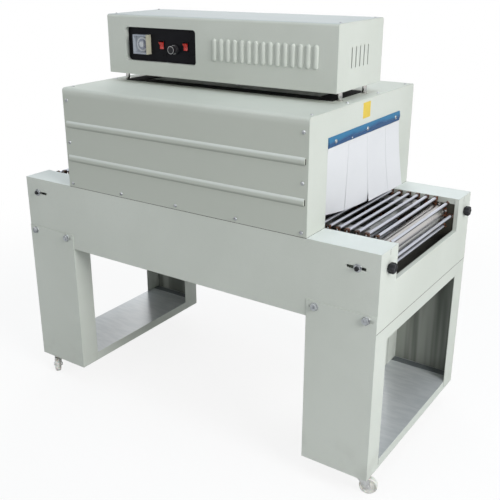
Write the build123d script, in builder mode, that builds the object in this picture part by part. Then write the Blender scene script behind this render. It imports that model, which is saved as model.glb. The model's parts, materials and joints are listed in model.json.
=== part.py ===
from build123d import *
import os
from math import cos, degrees, pi, radians, sin

os.makedirs("parts", exist_ok=True)

# Heat shrink tunnel: a rod conveyor carries goods through a heated chamber, and a control box
# stands on the chamber. X runs along the conveyor, the operator stands at -Y, Z is up from the floor.

# Sheet metal and fits
sheet = 2.0
fit_gap = 0.3
pin_play = 0.05
panel_play = 0.2
pin_sides = 12
disc_sides = 20
slot_bevel = 0.3

# Bed that carries the conveyor
bed_length = 1300.0
bed_width = 650.0
bed_top = 740.0
bed_depth = 220.0
lane_width = 450.0
lane_wall = 140.0
rail_lip = 25.0
notch_depth = 100.0
notch_lip = 12.0
pan_rim = 24.0

# Leg stands: folded posts, a tray below and a header under the bed
caster_height = 70.0
leg_width = 206.0
post_depth = 72.0
tray_rim = 30.0
header_depth = 40.0
tab_height = 50.0
tab_slot_spread = 162.0
tab_slot_rise = 34.0
tab_slot_length = 26.0
tab_slot_height = 9.0

# Swivel casters under the outer corners
caster_inset_x = 33.0
caster_inset_y = 35.0
caster_plate = 56.0
caster_plate_wall = 2.5
race_diameter = 34.0
race_height = 6.0
king_pin_diameter = 8.0
crown_height = 3.0
caster_trail = 22.0
wheel_diameter = 52.0
wheel_width = 18.0
wheel_axle_diameter = 8.0
cheek_gap = 0.5
cheek_wall = 2.0
cheek_width = 16.0

# Heated tunnel
tunnel_length = 876.0
tunnel_height = 316.0
tunnel_corner = 10.0
mouth_height = 225.0
mouth_lip = 12.0
rib_length = 858.0
rib_height = 22.0
rib_rise = 5.0
rib_levels = (95.0, 203.0)
liner_gap = 3.0
liner_height = 230.0
air_slot_pitch = 130.0
air_slot_count = 6
air_slot_length = 80.0
air_slot_height = 14.0
air_slot_rise = 60.0
heater_diameter = 12.0
heater_levels = (70.0, 140.0)

# Circulating fan
fan_diameter = 170.0
fan_depth = 38.0
fan_eye = 90.0
fan_blades = 8
fan_hub_diameter = 28.0
fan_shaft_diameter = 12.0
fan_roof_gap = 16.0
fan_shaft_hole = 18.0
fan_motor_diameter = 104.0
fan_motor_height = 100.0
fan_shaft_grip = 40.0

# Curtains and the strips that clamp them
strip_rise = 218.0
strip_height = 28.0
strip_wall = 2.0
strip_ridge = 4.5
curtain_wall = 2.0
curtain_side_gap = 3.0
curtain_drop = 192.0
curtain_strips = 4
curtain_slit = 1.5
curtain_hem = 18.0

# Control box on its four posts
box_length = 820.0
box_width = 270.0
box_height = 180.0
box_corner = 8.0
post_height = 28.0
post_diameter = 13.0
post_spread_x = 780.0
post_spread_y = 150.0
recess_length = 277.0
recess_height = 102.0
recess_depth = 16.0
recess_corner = 10.0
recess_x = -198.5
recess_rise = 93.0
fascia_wall = 3.0
louvre_count = 15
louvre_pitch = 23.93
louvre_x = 174.5
louvre_rise = 91.5
louvre_width = 14.0
louvre_height = 66.0
louvre_point = 6.0
louvre_depth = 3.0
louvre_taper = 38.0
vent_count = 5
vent_pitch = 24.5
vent_width = 5.0
vent_height = 56.0
vent_y = -5.0
vent_rise = 86.0

# Controls on the fascia
thermostat_x = -275.0
thermostat_size = 58.0
thermostat_depth = 19.0
thermostat_wall = 4.0
thermostat_floor = 4.0
thermostat_body = 52.0
thermostat_body_depth = 40.0
dial_diameter = 44.0
dial_wall = 4.0
dial_grip_diameter = 18.0
dial_grip_height = 9.0
dial_spindle_diameter = 6.0
dial_spindle_length = 12.0
rocker_x = (-202.0, -109.0)
bezel_width = 22.0
bezel_height = 30.0
bezel_rim = 2.0
bezel_wall = 0.8
bezel_depth = 20.0
rocker_width = 15.8
rocker_half_height = 10.5
rocker_edge = 8.0
rocker_valley = 5.0
rocker_root = 6.0
rocker_tilt = 10.0
rocker_draft = 1.6
speed_knob_x = -150.0
speed_knob_drop = 10.0
speed_knob_diameter = 24.0
speed_knob_length = 22.0
speed_skirt_diameter = 28.0
speed_skirt_length = 5.0
speed_spindle_diameter = 6.0
speed_spindle_length = 14.0

# Rod conveyor: two chain strands carry a rod at every pitch of the loop, on brackets that stand off the chain
rod_pitch = 28.575
rods_per_turn = 7
rod_lift = 13.65
rod_diameter = 9.6
rod_end_gap = 25.0
rod_sides = 8
rod_phase = 8.5
idler_inset = 62.0
drive_inset = 52.0
axle_drop = 48.0
axle_diameter = 20.0
axle_take_up = 3.0
web_slot_length = 56.0
web_slot_height = 8.4
web_slot_shift = 4.0
bracket_length = 9.5
bracket_width = 11.0
bracket_cap = 6.0
link_bar_wall = 2.0
link_bar_height = 10.0
drum_diameter = 56.0
drum_end_gap = 3.0
hub_diameter = 30.0
sprocket_wall = 5.0
tooth_root_width = 10.0
tooth_tip_width = 5.0
tooth_rise = 4.0
root_gap = 0.8
guide_inset = 28.0
guide_wall = 6.0
guide_depth = 24.0
guide_end_gap = 12.0
cross_bar_count = 4
cross_bar_width = 25.0
cross_bar_height = 8.0
cross_bar_inset = 40.0

# Gear motor and its chain to the drive drum
gearbox_lead = 98.0
gearbox_length = 80.0
gearbox_width = 90.0
gearbox_height = 70.0
gearbox_gap = 38.0
motor_diameter = 64.0
motor_length = 140.0
motor_shaft_diameter = 14.0
motor_shaft_grip = 30.0
motor_chain_gap = 7.0
motor_chain_radius = 24.0
motor_chain_plate = 8.0
motor_chain_wall = 1.6
motor_sprocket_wall = 4.0
motor_sprocket_teeth = 12
motor_sprocket_tooth = 5.0
motor_slot_play = 0.5

# Tension knobs on the outfeed end
knob_reach = 19.0
knob_place = 0.52
knob_diameter = 34.0
knob_lobes = 6
knob_dip = 3.5
knob_collar_diameter = 18.0
knob_collar_length = 2.0
screw_diameter = 10.0
screw_tail = 8.0

# Places that follow from the sizes above
mid_x = -knob_reach / 2
bed_end = bed_length / 2
bed_face = bed_width / 2
bed_bottom = bed_top - bed_depth
rail_length = bed_length - 2 * sheet
lane = lane_width / 2
knob_spread = 2 * (lane + knob_place * (bed_face - lane))
caster_spread_x = bed_length - 2 * caster_inset_x
caster_spread_y = bed_width - 2 * caster_inset_y
curtain_width = lane_width - 2 * curtain_side_gap
pan_level = bed_top - lane_wall - sheet
leg_out = bed_end
leg_in = bed_end - leg_width
leg_mid = bed_end - leg_width / 2
tab_face = bed_face + sheet
post_back = tab_face - post_depth
tunnel_end = tunnel_length / 2
tunnel_top = bed_top + tunnel_height
box_floor = tunnel_top + post_height
box_top = box_floor + box_height
box_face = box_width / 2
fascia_face = box_face - recess_depth
control_level = box_floor + recess_rise
axle_level = bed_top - axle_drop
rod_half = lane - rod_end_gap
guide_offset = rod_half - guide_inset
motor_chain_y = lane - motor_chain_gap
gearbox_y = motor_chain_y - gearbox_gap - gearbox_width / 2
idler_x = bed_end - idler_inset
web_slot_x = idler_x - web_slot_shift
rod_count = rods_per_turn + int((bed_length - idler_inset - drive_inset) / (rod_pitch / 2))
pitch_radius = rods_per_turn * rod_pitch / (2 * pi)
rod_orbit = pitch_radius + rod_lift
top_level = axle_level + rod_orbit
low_level = axle_level - rod_orbit
bracket_height = link_bar_height / 2 + rod_lift + bracket_cap
bracket_rise = bracket_height / 2 - link_bar_height / 2
span = (rod_count - rods_per_turn) * rod_pitch / 2
half_turn = rods_per_turn * rod_pitch / 2
drive_x = idler_x - span
gearbox_x = drive_x + gearbox_lead
pitch_angle = 360 / rods_per_turn
link_side = rod_half + bracket_width
sprocket_mid = rod_half + bracket_width / 2
hub_half = link_side + link_bar_wall


def level(z):
    """Flat plane at height z, with its origin on the machine's centre line."""
    return Plane((mid_x, 0, z))


def upright(y):
    """Plane along the machine at depth y: sketch axes X and Z, facing the operator."""
    return Plane((mid_x, y, 0), x_dir=(1, 0, 0), z_dir=(0, -1, 0))


def crosswise(x):
    """Plane across the machine at x from its middle: sketch axes Y and Z, facing the outfeed."""
    return Plane((mid_x + x, 0, 0), x_dir=(0, 1, 0), z_dir=(1, 0, 0))


def both_sides(offset_y):
    """The same distance to the front and to the rear of the centre line."""
    return (-offset_y, offset_y)


def peg(radius, sides=pin_sides, mode=Mode.ADD):
    """Flat-sided round that lies inside a circle of that radius, for pins and discs."""
    RegularPolygon(radius, sides, mode=mode)


def bore(radius, sides=pin_sides, mode=Mode.SUBTRACT):
    """Flat-sided hole that leaves a circle of that radius free."""
    RegularPolygon(radius, sides, major_radius=False, mode=mode)


def slot(length, height, mode=Mode.ADD):
    """Slot along the sketch's first axis, with bevelled ends."""
    end, side, cut = length / 2, height / 2, slot_bevel * height
    Polygon(
        (-end, -side + cut), (-end + cut, -side), (end - cut, -side), (end, -side + cut),
        (end, side - cut), (end - cut, side), (-end + cut, side), (-end, side - cut),
        align=None,
        mode=mode,
    )


def save(piece, name):
    """Name a finished piece and write it."""
    piece.label = name
    export_step(piece, f"parts/{name}.step")


middle = Plane.YZ.offset(mid_x)
downward = (Align.CENTER, Align.CENTER, Align.MAX)

# Bed: two folded rails with a flat top, closed at the ends by notched panels

with BuildPart() as front_rail:
    with BuildSketch(crosswise(-rail_length / 2)):
        with BuildLine():
            Polyline(
                (rail_lip - bed_face, bed_bottom),
                (-bed_face, bed_bottom),
                (-bed_face, bed_top),
                (-lane, bed_top),
                (-lane, bed_top - lane_wall),
            )
            offset(amount=sheet, side=Side.RIGHT, kind=Kind.INTERSECTION)
        make_face()
    extrude(amount=rail_length)
    # Slots in the outer web for the bolts that clamp the axle ends
    with BuildSketch(upright(-bed_face)):
        with Locations((-web_slot_x, axle_level), (web_slot_x, axle_level)):
            slot(web_slot_length, web_slot_height)
    extrude(amount=-sheet, mode=Mode.SUBTRACT)
    # Slots in the inner wall that carry the axles
    with BuildSketch(upright(-lane)):
        with Locations((drive_x, axle_level), (idler_x, axle_level)):
            slot(2 * (axle_take_up + fit_gap) + axle_diameter, axle_diameter + 2 * fit_gap)
    extrude(amount=sheet, mode=Mode.SUBTRACT)
save(front_rail.part, "front_rail")

with BuildPart() as rear_rail:
    mirror(front_rail.part, about=Plane.XZ)
save(rear_rail.part, "rear_rail")

with BuildPart() as panel_blank:
    with BuildSketch(crosswise(bed_end)):
        with Locations((0, bed_top)):
            Rectangle(bed_width, bed_depth, align=(Align.CENTER, Align.MAX))
            Rectangle(
                lane_width - 2 * sheet,
                notch_depth,
                align=(Align.CENTER, Align.MAX),
                mode=Mode.SUBTRACT,
            )
    extrude(amount=-sheet)
    # The lip is folded inwards round the notch
    with BuildSketch(crosswise(bed_end - sheet)):
        with Locations((0, bed_top)):
            Rectangle(lane_width, notch_depth + sheet, align=(Align.CENTER, Align.MAX))
            Rectangle(
                lane_width - 2 * sheet,
                notch_depth,
                align=(Align.CENTER, Align.MAX),
                mode=Mode.SUBTRACT,
            )
    extrude(amount=-notch_lip)

with BuildPart() as left_end_panel:
    mirror(panel_blank.part, about=middle)
save(left_end_panel.part, "left_end_panel")

with BuildPart() as right_end_panel:
    add(panel_blank.part)
    with BuildSketch(crosswise(bed_end)):
        with Locations((-knob_spread / 2, axle_level), (knob_spread / 2, axle_level)):
            bore(screw_diameter / 2 + pin_play, mode=Mode.ADD)
    extrude(amount=-sheet, mode=Mode.SUBTRACT)
save(right_end_panel.part, "right_end_panel")

# Gear motor place, which the pan's chain slot follows
motor_level = pan_level - gearbox_height / 2
chain_reach = motor_chain_radius + motor_chain_plate / 2
chain_side = motor_sprocket_wall / 2 + fit_gap

with BuildPart() as bed_pan:
    with BuildSketch(crosswise(notch_lip - rail_length / 2)):
        with BuildLine():
            Polyline(
                (-lane, pan_level + pan_rim),
                (-lane, pan_level),
                (lane, pan_level),
                (lane, pan_level + pan_rim),
            )
            offset(amount=sheet, side=Side.LEFT, kind=Kind.INTERSECTION)
        make_face()
    extrude(amount=rail_length - 2 * notch_lip)
    with BuildSketch(level(pan_level)):
        with Locations(((gearbox_x + drive_x) / 2, motor_chain_y)):
            Rectangle(
                abs(gearbox_x - drive_x) + 2 * chain_reach,
                2 * (chain_side + motor_chain_wall + motor_slot_play),
            )
    extrude(amount=sheet, mode=Mode.SUBTRACT)
save(bed_pan.part, "bed_pan")

guide_start = drive_x + drum_diameter / 2 + guide_end_gap
guide_end = idler_x - drum_diameter / 2 - guide_end_gap
guide_top = top_level - rod_diameter / 2 - fit_gap
return_top = low_level - rod_diameter / 2 - fit_gap
guide_mid = (guide_start + guide_end) / 2
guide_length = guide_end - guide_start
with BuildPart(level(0)) as guide_rails:
    with Locations(*((guide_mid, y, guide_top) for y in both_sides(guide_offset))):
        Box(guide_length, guide_wall, guide_depth, align=downward)
    # Strips on the pan that carry the returning rods
    with Locations(*((guide_mid, y, return_top) for y in both_sides(guide_offset))):
        Box(guide_length, guide_wall, return_top - pan_level - sheet, align=downward)
save(guide_rails.part, "guide_rails")

with BuildPart(level(guide_top - guide_depth)) as cross_bars:
    with Locations((guide_mid, 0)):
        with GridLocations((guide_length - 2 * cross_bar_inset) / (cross_bar_count - 1), 0, cross_bar_count, 1):
            Box(cross_bar_width, lane_width, cross_bar_height, align=downward)
save(cross_bars.part, "cross_bars")

# Leg stands

with BuildPart() as right_front_post:
    with BuildSketch(level(caster_height)):
        with BuildLine():
            Polyline((leg_in, -post_back), (leg_in, -tab_face), (leg_out, -tab_face), (leg_out, -post_back))
            offset(amount=sheet, side=Side.LEFT, kind=Kind.INTERSECTION)
        make_face()
    extrude(amount=bed_bottom - caster_height)
    # The web runs on as a slotted tab that is bolted to the outside of the rail
    with BuildSketch(upright(-bed_face)):
        with Locations((leg_mid, bed_bottom)):
            Rectangle(leg_width, tab_height, align=(Align.CENTER, Align.MIN))
        with Locations((leg_mid, bed_bottom + tab_slot_rise)):
            with GridLocations(tab_slot_spread, 0, 2, 1):
                slot(tab_slot_length, tab_slot_height, mode=Mode.SUBTRACT)
    extrude(amount=sheet)
save(right_front_post.part, "right_front_post")

with BuildPart() as right_rear_post:
    mirror(right_front_post.part, about=Plane.XZ)
save(right_rear_post.part, "right_rear_post")

with BuildPart() as left_front_post:
    mirror(right_front_post.part, about=middle)
save(left_front_post.part, "left_front_post")

with BuildPart() as left_rear_post:
    mirror(right_rear_post.part, about=middle)
save(left_rear_post.part, "left_rear_post")

with BuildPart() as leg_headers:
    with BuildSketch(upright(-post_back)):
        with BuildLine():
            Polyline(
                (leg_in, bed_bottom - header_depth),
                (leg_in, bed_bottom),
                (leg_out, bed_bottom),
                (leg_out, bed_bottom - header_depth),
            )
            offset(amount=sheet, side=Side.RIGHT, kind=Kind.INTERSECTION)
        make_face()
    extrude(amount=-2 * post_back)
    mirror(about=middle)
save(leg_headers.part, "leg_headers")

with BuildPart() as leg_trays:
    with BuildSketch(level(caster_height)):
        with Locations((leg_mid, 0)):
            Rectangle(leg_width - 2 * sheet, bed_width)
    extrude(amount=sheet)
    with BuildSketch(level(caster_height)):
        with Locations((leg_mid, 0)):
            with GridLocations(leg_width - sheet, 0, 2, 1):
                Rectangle(sheet, 2 * post_back)
    extrude(amount=tray_rim)
    # Deck level with the rims
    with BuildSketch(level(caster_height + tray_rim)):
        with Locations((leg_mid, 0)):
            Rectangle(leg_width - 2 * sheet, bed_width)
    extrude(amount=-sheet)
    mirror(about=middle)
save(leg_trays.part, "leg_trays")

# Casters: plates under the trays, and a fork and a wheel at each corner

race_low = caster_height - caster_plate_wall - race_height
crown_top = race_low - fit_gap
crown_low = crown_top - crown_height
wheel_radius = wheel_diameter / 2
cheek_in = wheel_width / 2 + cheek_gap
cheek_out = cheek_in + cheek_wall

with BuildPart() as caster_plates:
    with BuildSketch(level(caster_height)):
        with GridLocations(caster_spread_x, caster_spread_y, 2, 2):
            Rectangle(caster_plate, caster_plate)
            bore(king_pin_diameter / 2 + pin_play)
    extrude(amount=-caster_plate_wall)
    with BuildSketch(level(caster_height - caster_plate_wall)):
        with GridLocations(caster_spread_x, caster_spread_y, 2, 2):
            peg(race_diameter / 2)
            bore(king_pin_diameter / 2 + pin_play)
    extrude(amount=-race_height)
save(caster_plates.part, "caster_plates")

# Each corner with the way its wheel trails, in degrees from +X
casters = {
    "left_front": (-1, -1, -50.0),
    "left_rear": (-1, 1, 50.0),
    "right_front": (1, -1, 20.0),
    "right_rear": (1, 1, 155.0),
}
for corner, (side_x, side_y, heading) in casters.items():
    pivot = (mid_x + side_x * caster_spread_x / 2, side_y * caster_spread_y / 2, 0)
    trail_dir = (cos(radians(heading)), sin(radians(heading)), 0)
    side_dir = (sin(radians(heading)), -cos(radians(heading)), 0)
    rolling = Plane(pivot, x_dir=trail_dir, z_dir=side_dir)
    flat = Plane(pivot, x_dir=trail_dir)
    with BuildPart() as fork:
        with BuildSketch(rolling):
            with Locations((0, crown_low)):
                Rectangle(race_diameter, crown_height, align=(Align.CENTER, Align.MIN))
            with Locations((caster_trail, wheel_radius)):
                RegularPolygon(cheek_width / 2, rod_sides)
            make_hull()
        extrude(amount=cheek_out, both=True)
        # The slot for the wheel leaves the crown across the top
        with BuildSketch(rolling):
            with Locations((0, crown_low)):
                Rectangle(4 * wheel_diameter, wheel_diameter, align=(Align.CENTER, Align.MAX))
        extrude(amount=cheek_in, both=True, mode=Mode.SUBTRACT)
        with BuildSketch(flat.offset(crown_low)):
            peg(race_diameter / 2)
        extrude(amount=crown_height)
        with BuildSketch(flat.offset(crown_top)):
            peg(king_pin_diameter / 2)
        extrude(amount=caster_plate_wall + race_height)
        with BuildSketch(rolling):
            with Locations((caster_trail, wheel_radius)):
                peg(wheel_axle_diameter / 2)
        extrude(amount=cheek_in, both=True)
    save(fork.part, f"{corner}_fork")
    with BuildPart() as wheel:
        with BuildSketch(rolling):
            with Locations((caster_trail, wheel_radius)):
                peg(wheel_radius, disc_sides)
                bore(wheel_axle_diameter / 2 + pin_play)
        extrude(amount=wheel_width / 2, both=True)
    save(wheel.part, f"{corner}_wheel")

# Tunnel: a folded cover over two end walls, with the chamber's liner inside

with BuildPart() as tunnel_cover:
    with BuildSketch(crosswise(-tunnel_end)):
        with BuildLine():
            FilletPolyline(
                (-bed_face, bed_top),
                (-bed_face, tunnel_top),
                (bed_face, tunnel_top),
                (bed_face, bed_top),
                radius=tunnel_corner,
            )
            offset(amount=sheet, side=Side.RIGHT, kind=Kind.INTERSECTION)
        make_face()
    extrude(amount=tunnel_length)
    # Swaged ribs stiffen the front and the rear
    with BuildSketch(crosswise(-rib_length / 2)):
        for rib_level in rib_levels:
            with BuildLine():
                low = (-bed_face, bed_top + rib_level - rib_height / 2)
                crest = (-bed_face - rib_rise, bed_top + rib_level)
                high = (-bed_face, bed_top + rib_level + rib_height / 2)
                ThreePointArc(low, crest, high)
                Line(high, low)
            make_face()
        mirror(about=Plane.YZ)
    extrude(amount=rib_length)
    with BuildSketch(level(tunnel_top)):
        peg(fan_shaft_hole / 2)
    extrude(amount=-sheet, mode=Mode.SUBTRACT)
save(tunnel_cover.part, "tunnel_cover")

with BuildPart() as right_end_wall:
    with BuildSketch(crosswise(tunnel_end)):
        with BuildLine():
            FilletPolyline(
                (sheet - bed_face, bed_top),
                (sheet - bed_face, tunnel_top - sheet),
                (bed_face - sheet, tunnel_top - sheet),
                (bed_face - sheet, bed_top),
                radius=tunnel_corner - sheet,
            )
            Line((bed_face - sheet, bed_top), (sheet - bed_face, bed_top))
        make_face()
        with Locations((0, bed_top)):
            Rectangle(lane_width, mouth_height, align=(Align.CENTER, Align.MIN), mode=Mode.SUBTRACT)
    extrude(amount=-sheet)
    # The mouth's lip is folded into the tunnel
    with BuildSketch(crosswise(tunnel_end - sheet)):
        with Locations((0, bed_top)):
            Rectangle(lane_width + 2 * sheet, mouth_height + sheet, align=(Align.CENTER, Align.MIN))
            Rectangle(lane_width, mouth_height, align=(Align.CENTER, Align.MIN), mode=Mode.SUBTRACT)
    extrude(amount=-mouth_lip)
save(right_end_wall.part, "right_end_wall")

with BuildPart() as left_end_wall:
    mirror(right_end_wall.part, about=middle)
save(left_end_wall.part, "left_end_wall")

liner_length = tunnel_length - 2 * sheet
liner_side = lane + liner_gap
liner_top = bed_top + liner_height
with BuildPart() as inner_liner:
    with BuildSketch(crosswise(-liner_length / 2)):
        with BuildLine():
            Polyline(
                (-liner_side, bed_top),
                (-liner_side, liner_top),
                (liner_side, liner_top),
                (liner_side, bed_top),
            )
            offset(amount=sheet, side=Side.LEFT, kind=Kind.INTERSECTION)
        make_face()
    extrude(amount=liner_length)
    # Hot air enters through slots in the walls and goes back through the fan's eye
    with BuildSketch(upright(liner_side + sheet)):
        with Locations((0, bed_top + air_slot_rise)):
            with GridLocations(air_slot_pitch, 0, air_slot_count, 1):
                Rectangle(air_slot_length, air_slot_height)
    extrude(amount=2 * (liner_side + sheet), mode=Mode.SUBTRACT)
    with BuildSketch(level(liner_top)):
        peg(fan_eye / 2, disc_sides)
    extrude(amount=sheet, mode=Mode.SUBTRACT)
save(inner_liner.part, "inner_liner")

heater_offset = (liner_side + bed_face) / 2
with BuildPart() as heater_tubes:
    with BuildSketch(crosswise(-liner_length / 2)):
        with Locations(*((y, bed_top + rise) for y in both_sides(heater_offset) for rise in heater_levels)):
            peg(heater_diameter / 2, rod_sides)
    extrude(amount=liner_length)
save(heater_tubes.part, "heater_tubes")

# Fan: the motor stands in the control box and its shaft reaches down into the tunnel's roof space

fan_top = tunnel_top - sheet - fan_roof_gap
motor_base = box_floor + sheet
with BuildPart() as fan_motor:
    with BuildSketch(level(motor_base)):
        peg(fan_motor_diameter / 2, disc_sides)
    extrude(amount=fan_motor_height)
    with BuildSketch(level(motor_base)):
        bore(fan_shaft_diameter / 2 + pin_play, mode=Mode.ADD)
    extrude(amount=fan_shaft_grip + fit_gap, mode=Mode.SUBTRACT)
save(fan_motor.part, "fan_motor")

with BuildPart() as fan_wheel:
    with BuildSketch(level(fan_top)):
        peg(fan_diameter / 2, disc_sides)
    extrude(amount=-sheet)
    with BuildSketch(level(fan_top)):
        peg(fan_hub_diameter / 2)
        with PolarLocations((fan_diameter + fan_eye) / 4, fan_blades):
            Rectangle((fan_diameter - fan_eye) / 2, sheet)
    extrude(amount=-fan_depth)
    with BuildSketch(level(fan_top)):
        peg(fan_shaft_diameter / 2)
    extrude(amount=motor_base + fan_shaft_grip - fan_top)
save(fan_wheel.part, "fan_wheel")

# Curtains at both mouths, each hanging from a ridged strip

strip_low = bed_top + strip_rise
with BuildPart() as right_clamp_strip:
    with BuildSketch(upright(lane)):
        Polygon(
            (tunnel_end, strip_low),
            (tunnel_end + strip_wall, strip_low),
            (tunnel_end + strip_ridge, strip_low + strip_height / 2),
            (tunnel_end + strip_wall, strip_low + strip_height),
            (tunnel_end, strip_low + strip_height),
            align=None,
        )
    extrude(amount=lane_width)
save(right_clamp_strip.part, "right_clamp_strip")

with BuildPart() as left_clamp_strip:
    mirror(right_clamp_strip.part, about=middle)
save(left_clamp_strip.part, "left_clamp_strip")

# The curtain turns about the middle of its rounded top edge
curtain_x = tunnel_end + fit_gap + curtain_wall / 2
curtain_hinge = strip_low - fit_gap - curtain_wall / 2
with BuildPart() as right_curtain:
    with BuildSketch(upright(curtain_width / 2)):
        with Locations((curtain_x, curtain_hinge)):
            RegularPolygon(curtain_wall / 2, rod_sides)
            Rectangle(curtain_wall, curtain_drop, align=(Align.CENTER, Align.MAX))
    extrude(amount=curtain_width)
    with BuildSketch(crosswise(curtain_x)):
        with Locations((0, curtain_hinge - curtain_hem)):
            with GridLocations(curtain_width / curtain_strips, 0, curtain_strips - 1, 1):
                Rectangle(curtain_slit, curtain_drop, align=(Align.CENTER, Align.MAX))
    extrude(amount=curtain_wall, both=True, mode=Mode.SUBTRACT)
save(right_curtain.part, "right_curtain")

with BuildPart() as left_curtain:
    mirror(right_curtain.part, about=middle)
save(left_curtain.part, "left_curtain")

# Control box: a tray with vented ends, under a folded cover with the recess and the louvres

with BuildPart() as control_posts:
    with BuildSketch(level(tunnel_top)):
        with GridLocations(post_spread_x, post_spread_y, 2, 2):
            peg(post_diameter / 2)
    extrude(amount=post_height)
save(control_posts.part, "control_posts")

with BuildPart() as control_tray:
    with BuildSketch(upright(box_face - sheet)):
        with BuildLine():
            Polyline(
                (-box_length / 2, box_top - sheet),
                (-box_length / 2, box_floor),
                (box_length / 2, box_floor),
                (box_length / 2, box_top - sheet),
            )
            offset(amount=sheet, side=Side.LEFT, kind=Kind.INTERSECTION)
        make_face()
    extrude(amount=box_width - 2 * sheet)
    top_corners = control_tray.edges().filter_by(Axis.X).group_by(Axis.Z)[-1]
    fillet(top_corners, radius=box_corner - sheet)
    with BuildSketch(crosswise(-box_length / 2)):
        with Locations((vent_y, box_floor + vent_rise)):
            with GridLocations(vent_pitch, 0, vent_count, 1):
                Rectangle(vent_width, vent_height)
    extrude(amount=box_length, mode=Mode.SUBTRACT)
    with BuildSketch(level(box_floor)):
        peg(fan_shaft_hole / 2)
    extrude(amount=sheet, mode=Mode.SUBTRACT)
save(control_tray.part, "control_tray")

with BuildPart() as control_cover:
    with BuildSketch(crosswise(-box_length / 2)):
        with BuildLine():
            FilletPolyline(
                (-box_face, box_floor),
                (-box_face, box_top),
                (box_face, box_top),
                (box_face, box_floor),
                radius=box_corner,
            )
            offset(amount=sheet, side=Side.RIGHT, kind=Kind.INTERSECTION)
        make_face()
    extrude(amount=box_length)
    with BuildSketch(upright(-box_face)):
        with Locations((recess_x, control_level)):
            RectangleRounded(recess_length, recess_height, recess_corner)
    extrude(amount=-sheet, mode=Mode.SUBTRACT)
    # The recess has a folded rim that the fascia lies behind
    with BuildSketch(upright(-box_face)):
        with Locations((recess_x, control_level)):
            RectangleRounded(
                recess_length + 2 * sheet, recess_height + 2 * sheet, recess_corner + sheet
            )
            RectangleRounded(recess_length, recess_height, recess_corner, mode=Mode.SUBTRACT)
    extrude(amount=-recess_depth)
    # Pointed louvres are pressed out of the front
    with BuildSketch(upright(-box_face)):
        with Locations((louvre_x, box_floor + louvre_rise)):
            with GridLocations(louvre_pitch, 0, louvre_count, 1):
                Polygon(
                    (0, louvre_height / 2),
                    (-louvre_width / 2, louvre_height / 2 - louvre_point),
                    (-louvre_width / 2, louvre_point - louvre_height / 2),
                    (0, -louvre_height / 2),
                    (louvre_width / 2, louvre_point - louvre_height / 2),
                    (louvre_width / 2, louvre_height / 2 - louvre_point),
                    align=None,
                )
    extrude(amount=louvre_depth, taper=louvre_taper)
save(control_cover.part, "control_cover")

# Fascia and its controls

bezel_body_width = bezel_width - 2 * bezel_rim
bezel_body_height = bezel_height - 2 * bezel_rim
speed_knob_level = control_level - speed_knob_drop
with BuildPart() as fascia:
    with BuildSketch(upright(-fascia_face)):
        with Locations((recess_x, control_level)):
            RectangleRounded(
                recess_length + 2 * sheet, recess_height + 2 * sheet, recess_corner + sheet
            )
        with Locations((thermostat_x, control_level)):
            Rectangle(
                thermostat_body + 2 * panel_play,
                thermostat_body + 2 * panel_play,
                mode=Mode.SUBTRACT,
            )
        with Locations(*((x, control_level) for x in rocker_x)):
            Rectangle(
                bezel_body_width + 2 * panel_play,
                bezel_body_height + 2 * panel_play,
                mode=Mode.SUBTRACT,
            )
        with Locations((speed_knob_x, speed_knob_level)):
            bore(speed_spindle_diameter / 2 + pin_play)
    extrude(amount=-fascia_wall)
save(fascia.part, "fascia")

with BuildPart() as thermostat:
    with BuildSketch(upright(-fascia_face)):
        with Locations((thermostat_x, control_level)):
            Rectangle(thermostat_size, thermostat_size)
    extrude(amount=thermostat_depth)
    with BuildSketch(upright(-fascia_face)):
        with Locations((thermostat_x, control_level)):
            Rectangle(thermostat_body, thermostat_body)
    extrude(amount=-thermostat_body_depth)
    # Open well for the dial, with the spindle's bore below it
    with BuildSketch(upright(-fascia_face - thermostat_floor)):
        with Locations((thermostat_x, control_level)):
            Rectangle(thermostat_size - 2 * thermostat_wall, thermostat_size - 2 * thermostat_wall)
    extrude(amount=thermostat_depth - thermostat_floor, mode=Mode.SUBTRACT)
    with BuildSketch(upright(-fascia_face - thermostat_floor)):
        with Locations((thermostat_x, control_level)):
            bore(dial_spindle_diameter / 2 + pin_play, mode=Mode.ADD)
    extrude(amount=-dial_spindle_length, mode=Mode.SUBTRACT)
save(thermostat.part, "thermostat")

dial_face = fascia_face + thermostat_floor + fit_gap
with BuildPart() as thermostat_dial:
    with BuildSketch(upright(-dial_face)):
        with Locations((thermostat_x, control_level)):
            peg(dial_diameter / 2, disc_sides)
    extrude(amount=dial_wall)
    with BuildSketch(upright(-dial_face)):
        with Locations((thermostat_x, control_level)):
            peg(dial_grip_diameter / 2)
    extrude(amount=dial_grip_height)
    with BuildSketch(upright(-dial_face)):
        with Locations((thermostat_x, control_level)):
            peg(dial_spindle_diameter / 2)
    extrude(amount=-dial_spindle_length)
save(thermostat_dial.part, "thermostat_dial")

with BuildPart() as switch_bezels:
    with BuildSketch(upright(-fascia_face)):
        with Locations(*((x, control_level) for x in rocker_x)):
            Rectangle(bezel_width, bezel_height)
    extrude(amount=bezel_rim)
    with BuildSketch(upright(-fascia_face)):
        with Locations(*((x, control_level) for x in rocker_x)):
            Rectangle(bezel_body_width, bezel_body_height)
    extrude(amount=-bezel_depth)
    with BuildSketch(upright(-fascia_face - bezel_rim)):
        with Locations(*((x, control_level) for x in rocker_x)):
            Rectangle(bezel_body_width - 2 * bezel_wall, bezel_body_height - 2 * bezel_wall)
    extrude(amount=bezel_wall - bezel_depth - bezel_rim, mode=Mode.SUBTRACT)
save(switch_bezels.part, "switch_bezels")

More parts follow.
